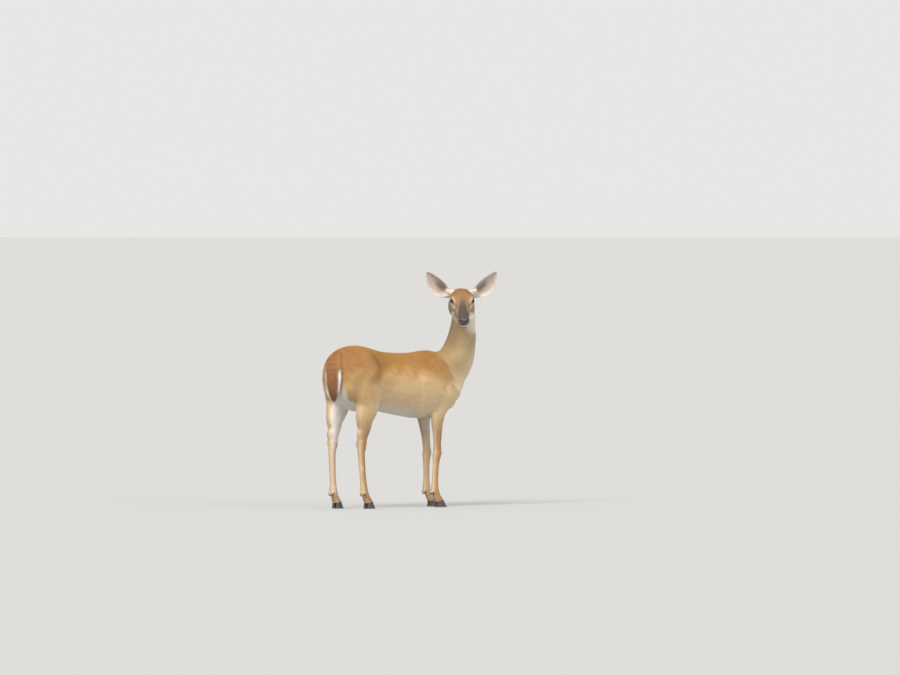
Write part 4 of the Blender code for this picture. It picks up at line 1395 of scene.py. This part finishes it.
def nose_material():
    """Dark wet leather, set with small rounded grains, with painted shade in the grooves between them."""
    made, tree, shader = material("nose")
    cells = new_node(tree, "TexVoronoi", {"Vector": place_on(tree), "Scale": 620.0})["Distance"]
    # painted shade: darker in the grooves between the grains, lighter on their tops
    tone = blended_colour(tree, ranged(tree, cells, 0.1, 0.7), (0.076, 0.068, 0.066), (0.027, 0.024, 0.023))
    put(tree, shader, {"Base Color": tone, "Roughness": 0.30, "Specular IOR Level": 0.40,
                       "Coat Weight": 0.15, "Coat Roughness": 0.20,
                       "Normal": bump(tree, cells, 0.7, 0.0005, invert=True)})
    return made


def bare_nose():
    """Gives the leather of the nose its own material."""
    skin_mesh.materials.append(nose_material())
    share = nose_share(face_middles(skin_mesh))
    skin_mesh.polygons.foreach_set("material_index", (share > 0.5).astype(np.int32))


def horn_material():
    """Dark horn with growth rings, paler and rougher where it wears at the ground."""
    made, tree, shader = material("horn")
    place = place_on(tree)
    ring_inputs = {"Vector": place, "Scale": 62.0, "Distortion": 5.0, "Detail": 2.0}
    rings = new_node(tree, "TexWave", ring_inputs, bands_direction="Z")["Fac"]
    fibres = noise_node(tree, 500.0, 4.0)
    above_ground = new_node(tree, "SeparateXYZ", {"Vector": place})["Z"]
    tone = blended_colour(tree, fibres, (0.020, 0.017, 0.015), (0.062, 0.051, 0.043))
    tone = blended_colour(tree, ranged(tree, above_ground, 0.009, 0.001), tone, (0.120, 0.098, 0.076))
    rough = maths(tree, "ADD", maths(tree, "MULTIPLY", fibres, 0.30), 0.28)
    height = maths(tree, "ADD", maths(tree, "MULTIPLY", rings, 0.45), maths(tree, "MULTIPLY", fibres, 0.8))
    put(tree, shader, {"Base Color": tone, "Roughness": rough, "Normal": bump(tree, height, 0.35, 0.0004)})
    return made


def claws(made):
    """Each claw with its facets rounded, and its sole kept flat."""
    for node in HOOVES:
        solid = add_object("work", joined([node], 0.0))
        mesh = modified(solid, "REMESH", mode="VOXEL", voxel_size=CLAW_VOXEL)
        spread = Spread(mesh)
        co = positions(mesh)
        free = ramp(co[:, 2], 0.0006, 0.0040)
        co = spread.relax(co, free, 90)
        co[:, 2] = np.maximum(co[:, 2], 0.0)
        set_positions(mesh, co)
        mesh = lighter(mesh, 0.30, np.zeros(len(mesh.vertices), bool))
        set_positions(mesh, within(positions(mesh)))
        mesh.shade_smooth()
        add_piece(node.replace("_claw", "_horn"), mesh, made, "hoof", node)


# In spine coordinates: the back of the feet, and how far each foot stands ahead of that, 1 for her left.
HEEL = {"fore": (0.244, 0.068), "hind": (-0.318, 0.076)}
STEP = {("fore", 1): 0.014, ("fore", -1): -0.020, ("hind", 1): -0.040, ("hind", -1): 0.034}


def dewclaws(made):
    """Two short blunt cones of horn behind each foot."""
    form = bmesh.new()
    for (leg, side), step in STEP.items():
        heel = HEEL[leg]
        for spread in (0.010, -0.010):
            cone = bmesh.new()
            bmesh.ops.create_icosphere(cone, subdivisions=4, radius=1.0)
            for vert in cone.verts:
                x, y, z = vert.co
                taper = 0.82 + 0.22 * z
                place = (heel[0] + step * 0.95 + 0.0010 + 0.0054 * x * taper - 0.0016 * (1 - z),
                         heel[1] * side + spread * (1.0 + 0.08 * (1 - z)) + 0.0047 * y * taper,
                         0.0750 + 0.0095 * z)
                vert.co = from_spine(place)[0]
            mesh = bpy.data.meshes.new("cone")
            cone.to_mesh(mesh)
            cone.free()
            form.from_mesh(mesh)
    mesh = bpy.data.meshes.new("dewclaws")
    form.to_mesh(mesh)
    form.free()
    mesh.shade_smooth()
    add_piece("dewclaws", mesh, made, "hoof")


bare_nose()
horn = horn_material()
claws(horn)
dewclaws(horn)


# ---------------------------------------------------------------- floor, light and camera


def studio():
    """A grey floor, a pale sky and two soft suns."""
    floor = bpy.data.meshes.new("floor")
    form = bmesh.new()
    bmesh.ops.create_circle(form, cap_ends=True, segments=96, radius=400.0)
    form.to_mesh(floor)
    form.free()
    ground = add_object("floor", floor)
    made, tree, shader = material("floor")
    put(tree, shader, {"Base Color": (0.483, 0.483, 0.478), "Roughness": 0.9, "Specular IOR Level": 0.1})
    floor.materials.append(made)

    world = bpy.data.worlds.new("studio")
    world.use_nodes = True
    sky = world.node_tree.nodes["Background"]
    sky.inputs["Color"].default_value = (0.80, 0.80, 0.79, 1)
    sky.inputs["Strength"].default_value = 1.0
    bpy.context.scene.world = world
    for name, energy, turn, height, size, colour in (
        ("key", 3.0, -62, 38, 28, (1.0, 0.975, 0.94)),
        ("fill", 1.35, 5, 16, 60, (1.0, 0.99, 0.98)),
    ):
        lamp = bpy.data.lights.new(name, "SUN")
        lamp.energy = energy
        lamp.angle = math.radians(size)
        lamp.color = colour
        holder = bpy.data.objects.new(name, lamp)
        holder.rotation_euler = (math.radians(90 - height), 0, math.radians(turn))
        bpy.context.scene.collection.objects.link(holder)
    bpy.context.scene.view_settings.view_transform = "Standard"


VIEW_WIDTH = 4.68                          # of what the camera sees at the doe
VIEW_MIDDLE = (0.3094, 0.885)              # across from the middle of the trunk, and up


def camera():
    """Far off and long, from her right rear quarter, level with her back."""
    turn, rise, away = math.radians(-40), math.radians(0.7), 60.0
    across = Vector((math.cos(turn), math.sin(turn), 0))
    target = Vector((*SPINE_ORIGIN[:2], 0)) + across * VIEW_MIDDLE[0] + Vector((0, 0, VIEW_MIDDLE[1]))
    back = Vector((math.sin(turn) * math.cos(rise), -math.cos(turn) * math.cos(rise), math.sin(rise)))
    lens = bpy.data.cameras.new("camera")
    lens.sensor_width = 36.0
    lens.lens = lens.sensor_width * away / VIEW_WIDTH
    lens.clip_end = 1000.0
    obj = bpy.data.objects.new("camera", lens)
    obj.location = target + back * away
    obj.rotation_euler = (-back).to_track_quat("-Z", "Y").to_euler()
    bpy.context.scene.collection.objects.link(obj)
    bpy.context.scene.camera = obj


studio()
camera()
